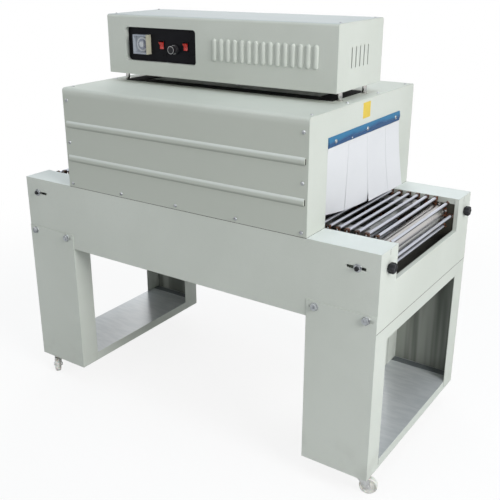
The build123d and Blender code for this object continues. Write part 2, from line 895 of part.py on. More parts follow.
rocker_pivot_y = -fascia_face + rocker_edge / 2
for name, x in zip(("heater_rocker", "conveyor_rocker"), rocker_x):
    with BuildPart() as rocker:
        with BuildSketch(crosswise(x)):
            with Locations((rocker_pivot_y, control_level)):
                Polygon(
                    (rocker_root, rocker_draft - rocker_half_height),
                    (rocker_root, rocker_half_height - rocker_draft),
                    (-rocker_edge, rocker_half_height),
                    (-rocker_valley, 0),
                    (-rocker_edge, -rocker_half_height),
                    rotation=rocker_tilt,
                    align=None,
                )
        extrude(amount=rocker_width / 2, both=True)
    save(rocker.part, name)

with BuildPart() as speed_knob:
    with BuildSketch(upright(-fascia_face - fit_gap)):
        with Locations((speed_knob_x, speed_knob_level)):
            peg(speed_knob_diameter / 2, disc_sides)
    extrude(amount=speed_knob_length)
    with BuildSketch(upright(-fascia_face - fit_gap)):
        with Locations((speed_knob_x, speed_knob_level)):
            peg(speed_skirt_diameter / 2, disc_sides)
    extrude(amount=speed_skirt_length)
    with BuildSketch(upright(-fascia_face - fit_gap)):
        with Locations((speed_knob_x, speed_knob_level)):
            peg(speed_spindle_diameter / 2)
    extrude(amount=-speed_spindle_length)
save(speed_knob.part, "speed_knob")

# Conveyor: every rod is placed by its distance along the loop, from the drive axle's top

travel = [rod_phase + i * rod_pitch for i in range(rod_count)]
upper_x = [drive_x + u for u in travel if u < span]
idler_turns = [90 - degrees((u - span) / pitch_radius) for u in travel if span <= u < span + half_turn]
back = span + half_turn
lower_x = [idler_x - (u - back) for u in travel if back <= u < back + span]
drive_turns = [270 - degrees((u - back - span) / pitch_radius) for u in travel if u >= back + span]


def rods_at(places):
    """Rods across the lane, one at each (x, z)."""
    with BuildPart() as rods:
        with BuildSketch(upright(rod_half)):
            with Locations(*places):
                RegularPolygon(rod_diameter / 2, rod_sides)
        extrude(amount=2 * rod_half)
    return rods.part


def straight_chain(xs, chain_level, rise):
    """Both chain strands of a straight run: a bracket at each rod's end, joined by the outer links."""
    run_mid = (min(xs) + max(xs)) / 2
    run_length = max(xs) - min(xs) + bracket_length
    with BuildPart() as chain:
        with BuildSketch(upright(-rod_half)):
            with Locations(*((x, chain_level + rise) for x in xs)):
                Rectangle(bracket_length, bracket_height)
        extrude(amount=bracket_width)
        with BuildSketch(upright(-link_side)):
            with Locations((run_mid, chain_level)):
                Rectangle(run_length, link_bar_height)
        extrude(amount=link_bar_wall)
        mirror(about=Plane.XZ)
    return chain.part


def wrapped_chain(centre_x, turns):
    """Both chain strands round an axle: brackets on the pitch circle, with a straight link between each two."""
    first = min(turns)
    sweep = max(turns) - first
    with BuildPart() as chain:
        with BuildSketch(upright(-rod_half)):
            with Locations((centre_x, axle_level)):
                with PolarLocations(pitch_radius + bracket_rise, len(turns), first, sweep, endpoint=True):
                    Rectangle(bracket_height, bracket_length)
        extrude(amount=bracket_width)
        with BuildSketch(upright(-link_side)):
            with Locations((centre_x, axle_level)):
                with PolarLocations(
                    pitch_radius * cos(radians(pitch_angle / 2)),
                    len(turns) - 1,
                    first + pitch_angle / 2,
                    sweep - pitch_angle,
                    endpoint=True,
                ):
                    Rectangle(link_bar_height, 2 * pitch_radius * sin(radians(pitch_angle / 2)))
        extrude(amount=link_bar_wall)
        mirror(about=Plane.XZ)
    return chain.part


def on_circle(centre_x, turns):
    """Places of the rods round an axle."""
    return [
        (centre_x + rod_orbit * cos(radians(a)), axle_level + rod_orbit * sin(radians(a)))
        for a in turns
    ]


save(rods_at([(x, top_level) for x in upper_x]), "upper_rods")
save(rods_at([(x, low_level) for x in lower_x]), "return_rods")
save(rods_at(on_circle(idler_x, idler_turns)), "idler_rods")
save(rods_at(on_circle(drive_x, drive_turns)), "drive_rods")
save(straight_chain(upper_x, axle_level + pitch_radius, bracket_rise), "upper_chain")
save(straight_chain(lower_x, axle_level - pitch_radius, -bracket_rise), "return_chain")
save(wrapped_chain(idler_x, idler_turns), "idler_chain")
save(wrapped_chain(drive_x, drive_turns), "drive_chain")

# Drums: a tube with a sprocket at each end, turning on a fixed axle

root_apothem = pitch_radius - link_bar_height / 2 - root_gap


def drum(centre_x, turn):
    """Drum whose sprockets have a flat under each bracket and a tooth between each two."""
    with BuildPart() as body:
        with BuildSketch(upright(0)):
            with Locations((centre_x, axle_level)):
                peg(drum_diameter / 2, disc_sides)
        extrude(amount=rod_half - drum_end_gap)
        with BuildSketch(upright(0)):
            with Locations((centre_x, axle_level)):
                peg(hub_diameter / 2)
        extrude(amount=hub_half)
        with BuildSketch(upright(sprocket_wall / 2 - sprocket_mid)):
            with Locations((centre_x, axle_level)):
                RegularPolygon(
                    root_apothem,
                    rods_per_turn,
                    major_radius=False,
                    rotation=turn - pitch_angle / 2,
                )
                with PolarLocations(0, rods_per_turn, turn + pitch_angle / 2):
                    Polygon(
                        (root_apothem, -tooth_root_width / 2),
                        (pitch_radius + tooth_rise, -tooth_tip_width / 2),
                        (pitch_radius + tooth_rise, tooth_tip_width / 2),
                        (root_apothem, tooth_root_width / 2),
                        align=None,
                    )
        extrude(amount=sprocket_wall)
        mirror(about=Plane.XZ)
        with BuildSketch(upright(0)):
            with Locations((centre_x, axle_level)):
                bore(axle_diameter / 2 + pin_play, mode=Mode.ADD)
        extrude(amount=hub_half, both=True, mode=Mode.SUBTRACT)
    return body.part


save(drum(idler_x, idler_turns[0]), "idler_drum")

motor_root = motor_chain_radius - motor_chain_plate / 2 + fit_gap
motor_tip = motor_root + motor_sprocket_tooth


def chain_wheel():
    """Outline of the small sprockets that the motor's chain runs on."""
    with BuildSketch() as outline:
        RegularPolygon(motor_root, motor_sprocket_teeth)
        with PolarLocations(0, motor_sprocket_teeth, 180 / motor_sprocket_teeth):
            Polygon(
                (0, -motor_root / 4),
                (motor_tip, 0),
                (0, motor_root / 4),
                align=None,
            )
    return outline.sketch


with BuildPart() as drive_drum:
    add(drum(drive_x, drive_turns[0]))
    with BuildSketch(upright(motor_chain_y + motor_sprocket_wall / 2)):
        with Locations((drive_x, axle_level)):
            add(chain_wheel())
            bore(axle_diameter / 2 + pin_play)
    extrude(amount=motor_sprocket_wall)
    with BuildSketch(upright(motor_chain_y)):
        with Locations((drive_x, axle_level)):
            peg(hub_diameter / 2)
            bore(axle_diameter / 2 + pin_play)
    extrude(amount=motor_chain_y - hub_half)
save(drive_drum.part, "drive_drum")

axle_half = bed_face - sheet - fit_gap
with BuildPart() as drive_axle:
    with BuildSketch(upright(axle_half)):
        with Locations((drive_x, axle_level)):
            peg(axle_diameter / 2)
    extrude(amount=2 * axle_half)
save(drive_axle.part, "drive_axle")

with BuildPart() as idler_axle:
    with BuildSketch(upright(axle_half)):
        with Locations((idler_x, axle_level)):
            peg(axle_diameter / 2)
    extrude(amount=2 * axle_half)
    # Cross holes near the ends take the tension screws
    with BuildSketch(crosswise(idler_x)):
        with Locations(*((y, axle_level) for y in both_sides(knob_spread / 2))):
            bore(screw_diameter / 2 + pin_play, mode=Mode.ADD)
    extrude(amount=axle_diameter, both=True, mode=Mode.SUBTRACT)
save(idler_axle.part, "idler_axle")

# Tension knobs: the screw pulls the idler axle towards the end panel

knob_start = bed_end + fit_gap
# Two corners on the crest of each lobe and two in each hollow
knob_outline = [
    (radius * cos(turn), radius * sin(turn))
    for i in range(4 * knob_lobes)
    for turn in [radians((i + 0.5) * 90 / knob_lobes)]
    for radius in [knob_diameter / 2 - (knob_dip if i % 4 > 1 else 0)]
]
for name, y in zip(("front_tension_knob", "rear_tension_knob"), both_sides(knob_spread / 2)):
    with BuildPart() as knob:
        with BuildSketch(crosswise(knob_start)):
            with Locations((y, axle_level)):
                peg(knob_collar_diameter / 2)
        extrude(amount=knob_collar_length)
        with BuildSketch(crosswise(knob_start + knob_collar_length)):
            with Locations((y, axle_level)):
                Polygon(*knob_outline, align=None)
        extrude(amount=knob_reach - fit_gap - knob_collar_length)
        with BuildSketch(crosswise(knob_start)):
            with Locations((y, axle_level)):
                peg(screw_diameter / 2)
        extrude(amount=idler_x - axle_diameter / 2 - screw_tail - knob_start)
    save(knob.part, name)

# Gear motor under the pan, its sprocket and the chain up to the drive drum

gearbox_face = gearbox_y + gearbox_width / 2
with BuildPart(level(0)) as gear_motor:
    with Locations((gearbox_x, gearbox_y, pan_level)):
        Box(gearbox_length, gearbox_width, gearbox_height, align=downward)
    with BuildSketch(upright(gearbox_y - gearbox_width / 2)):
        with Locations((gearbox_x, motor_level)):
            peg(motor_diameter / 2)
    extrude(amount=motor_length)
    with BuildSketch(upright(gearbox_face)):
        with Locations((gearbox_x, motor_level)):
            bore(motor_shaft_diameter / 2 + pin_play, mode=Mode.ADD)
    extrude(amount=motor_shaft_grip + fit_gap, mode=Mode.SUBTRACT)
save(gear_motor.part, "gear_motor")

with BuildPart() as motor_sprocket:
    with BuildSketch(upright(motor_chain_y + motor_sprocket_wall / 2)):
        with Locations((gearbox_x, motor_level)):
            add(chain_wheel())
    extrude(amount=motor_sprocket_wall)
    with BuildSketch(upright(motor_chain_y)):
        with Locations((gearbox_x, motor_level)):
            peg(motor_shaft_diameter / 2)
    extrude(amount=motor_chain_y - gearbox_face + motor_shaft_grip)
save(motor_sprocket.part, "motor_sprocket")


def chain_loop(radius):
    """Band round both of the motor chain's wheels."""
    with BuildSketch() as band:
        with Locations((drive_x, axle_level), (gearbox_x, motor_level)):
            RegularPolygon(radius, disc_sides)
        make_hull()
    return band.sketch


with BuildPart() as motor_chain:
    for face in (motor_chain_y + chain_side + motor_chain_wall, motor_chain_y - chain_side):
        with BuildSketch(upright(face)):
            add(chain_loop(chain_reach))
            add(chain_loop(chain_reach - motor_chain_plate), mode=Mode.SUBTRACT)
        extrude(amount=motor_chain_wall)
save(motor_chain.part, "motor_chain")
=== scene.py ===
# %% [markdown]
# # A heat shrink tunnel with a rod conveyor
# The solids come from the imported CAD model, already in place and in metres. Everything that this
# lesson adds is put where those solids are, so the first step loads them and keeps their outer box.
# Places are then given in millimetres from the tunnel's middle, as on a workshop drawing. SIDES stands for
# front and rear, or for left and right, since most of the machine is alike on both.

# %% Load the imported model
import json
from math import cos, pi, radians, sin

import bmesh
import bpy
from mathutils import Matrix, Vector


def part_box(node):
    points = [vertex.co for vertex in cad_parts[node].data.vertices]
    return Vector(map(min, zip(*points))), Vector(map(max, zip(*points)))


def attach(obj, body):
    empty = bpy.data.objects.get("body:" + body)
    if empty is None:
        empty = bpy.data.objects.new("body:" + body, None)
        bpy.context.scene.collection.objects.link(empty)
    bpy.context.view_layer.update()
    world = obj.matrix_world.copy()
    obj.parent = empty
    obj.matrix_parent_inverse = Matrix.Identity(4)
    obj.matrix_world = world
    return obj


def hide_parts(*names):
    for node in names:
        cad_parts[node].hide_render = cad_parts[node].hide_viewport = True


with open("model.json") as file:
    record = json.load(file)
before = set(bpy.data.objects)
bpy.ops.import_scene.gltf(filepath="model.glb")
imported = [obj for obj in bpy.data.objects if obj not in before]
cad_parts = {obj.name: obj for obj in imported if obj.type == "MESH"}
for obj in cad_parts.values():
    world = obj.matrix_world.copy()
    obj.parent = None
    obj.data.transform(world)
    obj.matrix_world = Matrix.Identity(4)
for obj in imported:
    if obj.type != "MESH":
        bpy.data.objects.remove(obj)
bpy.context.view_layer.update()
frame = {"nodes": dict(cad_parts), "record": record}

SIDES = (-1, 1)
low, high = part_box("tunnel_cover")
MIDDLE = (low.x + high.x) / 2


def at(x, y, z):
    """A place given in millimetres from the tunnel's middle and the floor."""
    return Vector((MIDDLE + x / 1000, y / 1000, z / 1000))


def reach(node):
    """A CAD node's highest corner, in the millimetres that at() takes."""
    return 1000 * (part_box(node)[1] - Vector((MIDDLE, 0, 0)))


print("nodes", len(frame["nodes"]), "middle", round(MIDDLE, 4))

# %% [markdown]
# The camera stands where the photo was taken from: a little above the control box, off the front right
# corner. Its numbers come from matching edges of the solids to the picture, so the machine falls on the
# same pixels. The focal length and the lens shift are given in pixels of a picture 500 pixels wide. The
# shift is small; it stands for a slightly cropped picture.

# %% Camera
PICTURE, FOCUS, SHIFT_X, SHIFT_Y = 500, 757.4, 25, -7.4
SENSOR = 36
STAND = at(1347.2, -1946.8, 1424.4)
turn, tilt, roll = radians(35.81), radians(20.57), radians(-0.61)
back = Vector((sin(turn) * cos(tilt), -cos(turn) * cos(tilt), sin(tilt)))
side = Vector((cos(turn), sin(turn), 0))
rise = back.cross(side)
side, rise = cos(roll) * side + sin(roll) * rise, cos(roll) * rise - sin(roll) * side


def added(name, data):
    """Puts data into the scene as an object."""
    item = bpy.data.objects.new(name, data)
    bpy.context.scene.collection.objects.link(item)
    return item


lens = bpy.data.cameras.new("viewpoint")
lens.sensor_width = SENSOR
lens.lens = FOCUS / PICTURE * SENSOR
lens.shift_x, lens.shift_y = SHIFT_X / PICTURE, SHIFT_Y / PICTURE
viewpoint = added("viewpoint", lens)
viewpoint.matrix_world = Matrix.Translation(STAND) @ Matrix((side, rise, back)).transposed().to_4x4()
bpy.context.scene.camera = viewpoint
print("lens", round(lens.lens, 2), "mm")

# %% [markdown]
# Node trees are easier to read as sums than as wires. `Value` wraps one output socket and adds a
# Math node for each operator, and `Graph.node` makes any other node from its type, its settings and
# its inputs. The same two classes serve the materials and the Geometry Nodes trees below.


# %% Node trees written as expressions
class Value:
    """An output socket that can be used in sums."""

    def __init__(self, graph, socket):
        self.graph, self.socket = graph, socket

    def maths(self, operation, first, second=0.0):
        return self.graph.node("ShaderNodeMath", {"operation": operation}, {0: first, 1: second})

    def __add__(self, other):
        return self.maths("ADD", self, other)

    def __sub__(self, other):
        return self.maths("SUBTRACT", self, other)

    def __rsub__(self, other):
        return self.maths("SUBTRACT", other, self)

    def __mul__(self, other):
        return self.maths("MULTIPLY", self, other)

    def __abs__(self):
        return self.maths("ABSOLUTE", self)

    __radd__, __rmul__ = __add__, __mul__


class Graph:
    """A node tree that grows by one method, with two short forms of it."""

    def __init__(self, tree):
        self.tree = tree

    def node(self, kind, settings={}, inputs={}, out=0):
        made = self.tree.nodes.new(kind)
        for key, value in settings.items():
            setattr(made, key, value)
        for key, value in inputs.items():
            if isinstance(value, Value):
                self.tree.links.new(value.socket, made.inputs[key])
            else:
                made.inputs[key].default_value = value
        return Value(self, made.outputs[out])

    def axis(self, vector, name):
        return self.node("ShaderNodeSeparateXYZ", {}, {0: vector}, out=name)

    def vector(self, operation, first, second=(0, 0, 0), out=0):
        return self.node("ShaderNodeVectorMath", {"operation": operation}, {0: first, 1: second}, out=out)


print("node classes ready")

# %% [markdown]
# A finish is one material: a Principled shader whose patterns read Object coordinates. The class adds short
# forms for what the finishes share: a stretched noise, a soft step between two limits, a mix of two tones
# and a bump that can also round sharp edges in the shading.


# %% A class for finishes
class Finish(Graph):
    """A material with the Principled shader, read on Object coordinates."""

    def __init__(self, name, **plain):
        self.material = bpy.data.materials.new(name)
        self.material.use_nodes = True
        super().__init__(self.material.node_tree)
        self.shader = self.tree.nodes["Principled BSDF"]
        self.here = self.node("ShaderNodeTexCoord", out="Object")
        self.feed(**plain)

    def feed(self, **sockets):
        for name, value in sockets.items():
            socket = self.shader.inputs[name.replace("_", " ")]
            if isinstance(value, Value):
                self.tree.links.new(value.socket, socket)
            else:
                socket.default_value = (*value, 1) if isinstance(value, tuple) else value

    def noise(self, scale, detail=2.0, stretch=(1, 1, 1)):
        where = self.vector("MULTIPLY", self.here, stretch)
        return self.node("ShaderNodeTexNoise", {}, {"Vector": where, "Scale": scale, "Detail": detail})

    def between(self, value, start, end, low=0.0, high=1.0):
        settings = {"interpolation_type": "SMOOTHSTEP"}
        inputs = {"Value": value, "From Min": start, "From Max": end, "To Min": low, "To Max": high}
        return self.node("ShaderNodeMapRange", settings, inputs)

    def mix(self, first, second, share):
        first, second = ((*c, 1) if isinstance(c, tuple) else c for c in (first, second))
        return self.node("ShaderNodeMix", {"data_type": "RGBA"}, {0: share, 6: first, 7: second}, out=2)

    def bump(self, height, distance, strength=1.0, rounded=0.0):
        inputs = {"Height": height, "Distance": distance, "Strength": strength}
        if rounded:
            inputs["Normal"] = self.node("ShaderNodeBevel", {"samples": 4}, {"Radius": rounded})
        self.feed(Normal=self.node("ShaderNodeBump", {}, inputs))


finishes = {}
print("finish class ready")

# %% [markdown]
# Most of the machine is folded sheet with a light grey-green powder coat. The real coat has a fine
# grain that breaks up the highlights, a faint cloudiness from sheet to sheet and some shop dirt near
# the floor. The Bevel node rounds the sharp folds in the shading only, so the solids stay as they are.

# %% Powder-coated sheet
COAT = (0.585, 0.618, 0.566), (0.635, 0.668, 0.618)
FLECK, DIRT = (0.53, 0.565, 0.52), (0.2, 0.19, 0.165)
paint = finishes["machine_paint"] = Finish("powder_coat", Specular_IOR_Level=0.3)
cloud, grain, fleck = paint.noise(2.6, 4), paint.noise(850, 2), paint.noise(260, 3)
length_x, breadth_y, height_z = (paint.axis(paint.here, name) for name in "XYZ")
far_x, width_y = abs(length_x - MIDDLE), abs(breadth_y)
dirt = (1 - paint.between(height_z, 0.07, 0.2)) * paint.between(paint.noise(14, 5), 0.42, 0.75)
tone = paint.mix(*COAT, paint.between(cloud, 0.3, 0.7))
tone = paint.mix(tone, FLECK, paint.between(fleck, 0.56, 0.72, 0, 0.25))
tone = paint.mix(tone, DIRT, 0.175 * dirt)
paint.feed(Roughness=0.5 + 0.16 * grain + 0.08 * cloud)
paint.bump(grain, 0.00035, 0.5, rounded=0.0016)
print(paint.material.name)

# %% [markdown]
# The coat isn't one tone all over. Oil and painted shade darken the conveyor's lane, the posts carry painted
# shade with streaks inside, the tunnel's cover is painted a shade darker, its two ribs get a painted
# highlight above and painted shade below, the box top is painted darker and the bed top gets a painted
# highlight. Masks from the place and the facing of the surface mix these tones in, so they hold from every
# side.

# %% Tones of the coat by place, with painted light and shade
LANE_OIL_AND_SHADE_TONES = (0.035, 0.034, 0.026), (0.075, 0.072, 0.055)
POST_SHADE_AND_STREAK_TONES = (0.125, 0.137, 0.12), (0.32, 0.338, 0.305)
COVER_PAINTED_SHADE, RIB_TOP_PAINTED_HIGHLIGHT, RIB_FOOT_PAINTED_SHADE = (0.5, 0.53, 0.475), (0.67, 0.71, 0.68), (0.36, 0.38, 0.335)
BOX_TOP_PAINTED_SHADE, BED_TOP_PAINTED_HIGHLIGHT = (0.44, 0.485, 0.505), (0.73, 0.77, 0.75)
facing = paint.node("ShaderNodeNewGeometry", out="Normal")
facing_y, facing_z = (paint.axis(facing, name) for name in "YZ")
lane_oil_and_shade_mask = paint.between(width_y, 0.2262, 0.2255) * paint.between(far_x, 0.638, 0.637)
lane_oil_and_shade_mask = lane_oil_and_shade_mask * paint.between(height_z, 0.7235, 0.7215) * paint.between(height_z, 0.53, 0.54)
inside = paint.between(facing_y * breadth_y, -0.2, -0.25) * paint.between(width_y, 0.3, 0.31)
inside = inside * paint.between(height_z, 0.525, 0.515)
streak = paint.between(paint.noise(24, 2, (1, 0.2, 0.04)), 0.42, 0.66)
cover = paint.between(height_z, 0.7405, 0.7415) * paint.between(height_z, 1.05, 1.03)
cover = cover * paint.between(width_y, 0.3235, 0.3245)
level = paint.between(facing_z, 0.7, 0.95)
bed_top_highlight_mask = paint.between(height_z, 0.735, 0.738) * paint.between(height_z, 0.7425, 0.741)
# The lane is darkened with oil and with painted shade.
tone = paint.mix(tone, paint.mix(*LANE_OIL_AND_SHADE_TONES, fleck), lane_oil_and_shade_mask)
# The insides of the posts are painted darker as shade, with streaks.
tone = paint.mix(tone, paint.mix(*POST_SHADE_AND_STREAK_TONES, streak), inside)
# Painted shade on the cover; on its ribs a painted highlight above and painted shade below.
tone = paint.mix(tone, COVER_PAINTED_SHADE, 0.85 * cover)
tone = paint.mix(tone, RIB_TOP_PAINTED_HIGHLIGHT, paint.between(facing_z, 0.1, 0.6) * cover)
tone = paint.mix(tone, RIB_FOOT_PAINTED_SHADE, paint.between(facing_z, -0.1, -0.6) * cover)
# Painted shade on the box top and a painted highlight on the bed top.
tone = paint.mix(tone, BOX_TOP_PAINTED_SHADE, 0.75 * level * paint.between(height_z, 1.25, 1.26))
tone = paint.mix(tone, BED_TOP_PAINTED_HIGHLIGHT, level * bed_top_highlight_mask)
paint.feed(Base_Color=tone)
print(paint.material.name, len(paint.tree.nodes), "nodes")

# %% [markdown]
# Bare metals differ in how they were worked. Rods are drawn tube with fine lines along them and painted
# shade on their undersides, drums are turned and carry rings, and zinc plate is cloudy, but brighter on the
# casters.
# Noises stretched along the working direction give the lines, and broader ones give the stains.

# %% Bare metals
rod = finishes["rod_steel"] = Finish("drawn_tube", Metallic=1.0)
lines = rod.noise(900, 2, (1, 0.012, 1))
stain = rod.noise(22, 4, (1, 0.35, 1))
# The rods' undersides are darkened as painted shade.
painted_underside_shade = rod.between(rod.axis(rod.node("ShaderNodeTexCoord", out="Normal"), "Z"), 0.32, 0.0, 0, 0.9)
worn = rod.mix((0.55, 0.57, 0.625), (0.4, 0.39, 0.38), rod.between(stain, 0.54, 0.8, 0, 0.7))
rod.feed(Base_Color=rod.mix(worn, (0.06, 0.055, 0.05), painted_underside_shade))
rod.feed(Roughness=0.4 + 0.2 * lines + 0.16 * rod.between(stain, 0.45, 0.75))
rod.bump(lines, 0.0002, 0.3)

drum = finishes["drum_steel"] = Finish("turned_drum", Metallic=1.0)
rings = drum.noise(700, 2, (0.02, 1, 0.02))
smear = drum.noise(16, 4, (1, 0.25, 1))
dull = drum.between(smear, 0.55, 0.85, 0, 0.7)
drum.feed(Base_Color=drum.mix((0.54, 0.525, 0.515), (0.31, 0.28, 0.24), dull))
drum.feed(Roughness=0.13 + 0.14 * rings + 0.16 * drum.between(smear, 0.4, 0.8))
drum.bump(rings, 0.0002, 0.35)

zinc = finishes["zinc"] = Finish("zinc_plate", Metallic=1.0)
patch = zinc.noise(90, 4)
cloudy = zinc.mix((0.53, 0.545, 0.56), (0.27, 0.28, 0.295), zinc.between(patch, 0.4, 0.66))
on_casters = zinc.between(zinc.axis(zinc.here, "Z"), 0.09, 0.075, 0, 0.55)
zinc.feed(Base_Color=zinc.mix(cloudy, (0.82, 0.81, 0.79), on_casters), Roughness=0.26 + 0.2 * patch)
zinc.bump(zinc.noise(700), 0.0003, 0.35, rounded=0.0006)

bright = finishes["bright_steel"] = Finish("bright_bar", Metallic=1.0)
scratch = bright.noise(500, 3, (0.02, 1, 1))
tarnish = bright.between(bright.noise(12, 4), 0.5, 0.8)
bright.feed(Base_Color=bright.mix((0.72, 0.72, 0.71), (0.5, 0.49, 0.46), tarnish))
bright.feed(Roughness=0.22 + 0.24 * scratch)
bright.bump(scratch, 0.0002, 0.3, rounded=0.0005)

chrome = Finish("post_chrome", Metallic=1.0)
chrome.feed(Base_Color=chrome.mix((0.5, 0.48, 0.46), (0.66, 0.65, 0.64), chrome.noise(90, 3)))
chrome.feed(Roughness=0.1 + 0.12 * chrome.between(chrome.noise(60, 3), 0.45, 0.7))
print("finishes", len(finishes))

# %% [markdown]
# The chain and its brackets are the one rusty place of the machine: nearly black where the oil sits,
# red-brown where it has dried. Many finishes from here on are two tones and two degrees of gloss that
# follow one noise, so a function makes those.


# %% Rust and oil
def two_tone(name, first, second, rough, spread, noise, **plain):
    """A finish that goes from a first tone to a second, and rougher by a spread, along one noise."""
    finish = Finish(name, **plain)
    blotch = finish.noise(*noise)
    finish.feed(Base_Color=finish.mix(first, second, blotch), Roughness=rough + spread * blotch)
    return finish


chain = finishes["chain_steel"] = Finish("rusty_bracket")
rust = chain.between(chain.noise(160, 5), 0.44, 0.66)
chain.feed(Base_Color=chain.mix((0.022, 0.017, 0.015), (0.2, 0.068, 0.024), rust))
chain.feed(Metallic=0.75 - 0.65 * rust, Roughness=0.34 + 0.36 * rust + 0.12 * chain.noise(45, 3))
chain.bump(chain.noise(900, 4), 0.0006, 0.6, rounded=0.0005)

oiled = two_tone("oiled_links", (0.02, 0.018, 0.017), (0.075, 0.062, 0.052), 0.25, 0.25, (200, 3))
oiled.feed(Metallic=0.85)
print("finishes", len(finishes))

# %% [markdown]
# Sheet that hardly shows is plain galvanised, or dusty with dark drips of lubricant near the drums. The
# heater tubes have the brown and blue tints of hot steel, the black board on the tunnel's roof under the
# control box is painted shadow, and the motors are enamelled.

# %% Hidden sheets, tubes and motors
pan = finishes["dark_sheet"] = Finish("dark_pan")
film = pan.noise(9, 5)
drip = pan.between(abs(pan.axis(pan.here, "X") - MIDDLE), 0.52, 0.575)
dust = pan.mix((0.19, 0.187, 0.155), (0.33, 0.325, 0.28), pan.between(film, 0.4, 0.72))
pan.feed(Base_Color=pan.mix(dust, (0.03, 0.03, 0.026), 0.85 * drip), Roughness=0.35 + 0.4 * film)
pan.bump(pan.noise(300, 3), 0.0006, 0.4)

galvanised = finishes["galvanised"] = Finish("galvanised_sheet", Metallic=1.0)
crystals = {"Vector": galvanised.here, "Scale": 95.0}
spangle = galvanised.node("ShaderNodeTexVoronoi", {}, crystals, out="Color")
shade = galvanised.node("ShaderNodeRGBToBW", {}, {0: spangle})
galvanised.feed(Base_Color=galvanised.mix((0.42, 0.43, 0.44), (0.66, 0.67, 0.68), shade))
galvanised.feed(Roughness=0.3 + 0.25 * shade)

# A near-black finish for the board that is painted shadow under the control box.
strands = (220, 4, (1, 4, 1))
shadow_black = two_tone("fibre_board", (0.006, 0.006, 0.007), (0.02, 0.019, 0.018), 0.75, 0.2, strands)
shadow_black.feed(Specular_IOR_Level=0.1)

heater = finishes["heater_steel"] = Finish("heat_tinted_tube", Metallic=1.0)
heat = heater.noise(8, 3)
heater.feed(Base_Color=heater.mix((0.22, 0.16, 0.12), (0.12, 0.13, 0.2), heater.between(heat, 0.35, 0.65)))
heater.feed(Roughness=0.4 + 0.2 * heat)

enamel = two_tone("motor_enamel", (0.1, 0.115, 0.125), (0.16, 0.175, 0.185), 0.3, 0.25, (40, 4))
enamel.bump(enamel.noise(400, 3), 0.0006, 0.4, rounded=0.002)
finishes["motor_paint"] = enamel
print("finishes", len(finishes))

# %% [markdown]
# Each leg has a floor tray between its posts. Its deck is worn to a brushed sheen, while its folded sides
# keep their paint, so the finish tells them apart by the way the surface faces.

# %% Trays of the legs
tray = Finish("tray_deck")
deck = tray.between(tray.axis(tray.node("ShaderNodeNewGeometry", out="Normal"), "Z"), 0.8, 0.95)
brush = tray.noise(60, 4, (0.25, 1, 1))
sheen = tray.mix((0.5, 0.53, 0.55), (0.57, 0.595, 0.61), tray.between(brush, 0.35, 0.65))
tray.feed(Base_Color=tray.mix((0.6, 0.635, 0.585), sheen, deck), Metallic=0.2 * deck)
tray.feed(Roughness=0.5 - deck * (0.26 - 0.14 * brush))
tray.bump(tray.noise(500, 3), 0.0001, 0.2)
print(tray.material.name)

# %% [markdown]
# The plastics: a glossy black control plate, moulded knobs with a satin skin, red rocker caps with a
# little depth, a milky thermostat with a beige side, and hard off-white caster wheels that pick up floor
# dirt. The thermostat's dial has a dark ring on its pale skin; a mask by the distance from the
# dial's middle gives it.

# %% Plastics
gloss = two_tone("gloss_plate", (0.003, 0.003, 0.005), (0.009, 0.009, 0.012), 0.2, 0.2, (30, 4))
gloss.feed(Specular_IOR_Level=0.12)
gloss.bump(gloss.noise(500), 0.0001, 0.2, rounded=0.0006)
satin = two_tone("satin_knob", (0.007, 0.007, 0.009), (0.024, 0.024, 0.028), 0.32, 0.22, (160, 4))
satin.feed(Specular_IOR_Level=0.25)
satin.bump(satin.noise(1200), 0.0003, 0.35)
red = two_tone("red_cap", (0.5, 0.008, 0.006), (0.68, 0.03, 0.018), 0.22, 0.14, (180, 3), Coat_Weight=0.3)
red.feed(Subsurface_Weight=0.15, Subsurface_Scale=0.003)
shell = two_tone("milky_shell", (0.33, 0.37, 0.45), (0.47, 0.5, 0.56), 0.24, 0.16, (50, 3))
shell.feed(Coat_Weight=0.4, Coat_Roughness=0.08)
shell.bump(shell.noise(700), 0.0002, 0.3, rounded=0.0008)
beige = two_tone("beige_side", (0.46, 0.44, 0.33), (0.56, 0.55, 0.44), 0.34, 0.16, (60, 3))
lid = Finish("clear_lid", Base_Color=(0.85, 0.9, 0.95), Roughness=0.05, Alpha=0.12)


def middle_of(node):
    """The middle of a CAD node's box, in metres."""
    low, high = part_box(node)
    return (low + high) / 2


dial = Finish("dial_skin")
haze = dial.noise(120, 3)
spoke = dial.vector("MULTIPLY", dial.vector("SUBTRACT", dial.here, middle_of("thermostat_dial")), (1, 0, 1))
radius = dial.vector("LENGTH", spoke, out="Value")
dark_ring = dial.between(radius, 0.0088, 0.0094) * dial.between(radius, 0.0172, 0.0164)
skin = dial.mix((0.66, 0.68, 0.72), (0.78, 0.79, 0.8), haze)
dial.feed(Base_Color=dial.mix(skin, (0.2, 0.215, 0.3), dark_ring), Roughness=0.2 + 0.2 * haze)

nylon = Finish("nylon_wheel", Subsurface_Weight=0.1, Subsurface_Scale=0.004)
scuff = nylon.between(nylon.noise(70, 5), 0.45, 0.75)
nylon.feed(Base_Color=nylon.mix((0.72, 0.72, 0.68), (0.36, 0.34, 0.3), 0.7 * scuff))
nylon.feed(Roughness=0.38 + 0.3 * scuff)
nylon.bump(nylon.noise(500, 3), 0.0004, 0.4)
finishes.update(fascia_black=gloss, knob_black=satin, switch_red=red, thermostat_shell=shell)
finishes.update(dial_white=dial, nylon=nylon)
print("finishes", len(finishes))

# %% [markdown]
# Two finishes belong to the mouths. The clamp strip still wears a blue protective film, lighter where
# it has lifted and, as painted light, lighter towards its top. The curtain is glass cloth with a slippery
# white coating: its weave runs along the strip's own UV map, so it follows every bend.

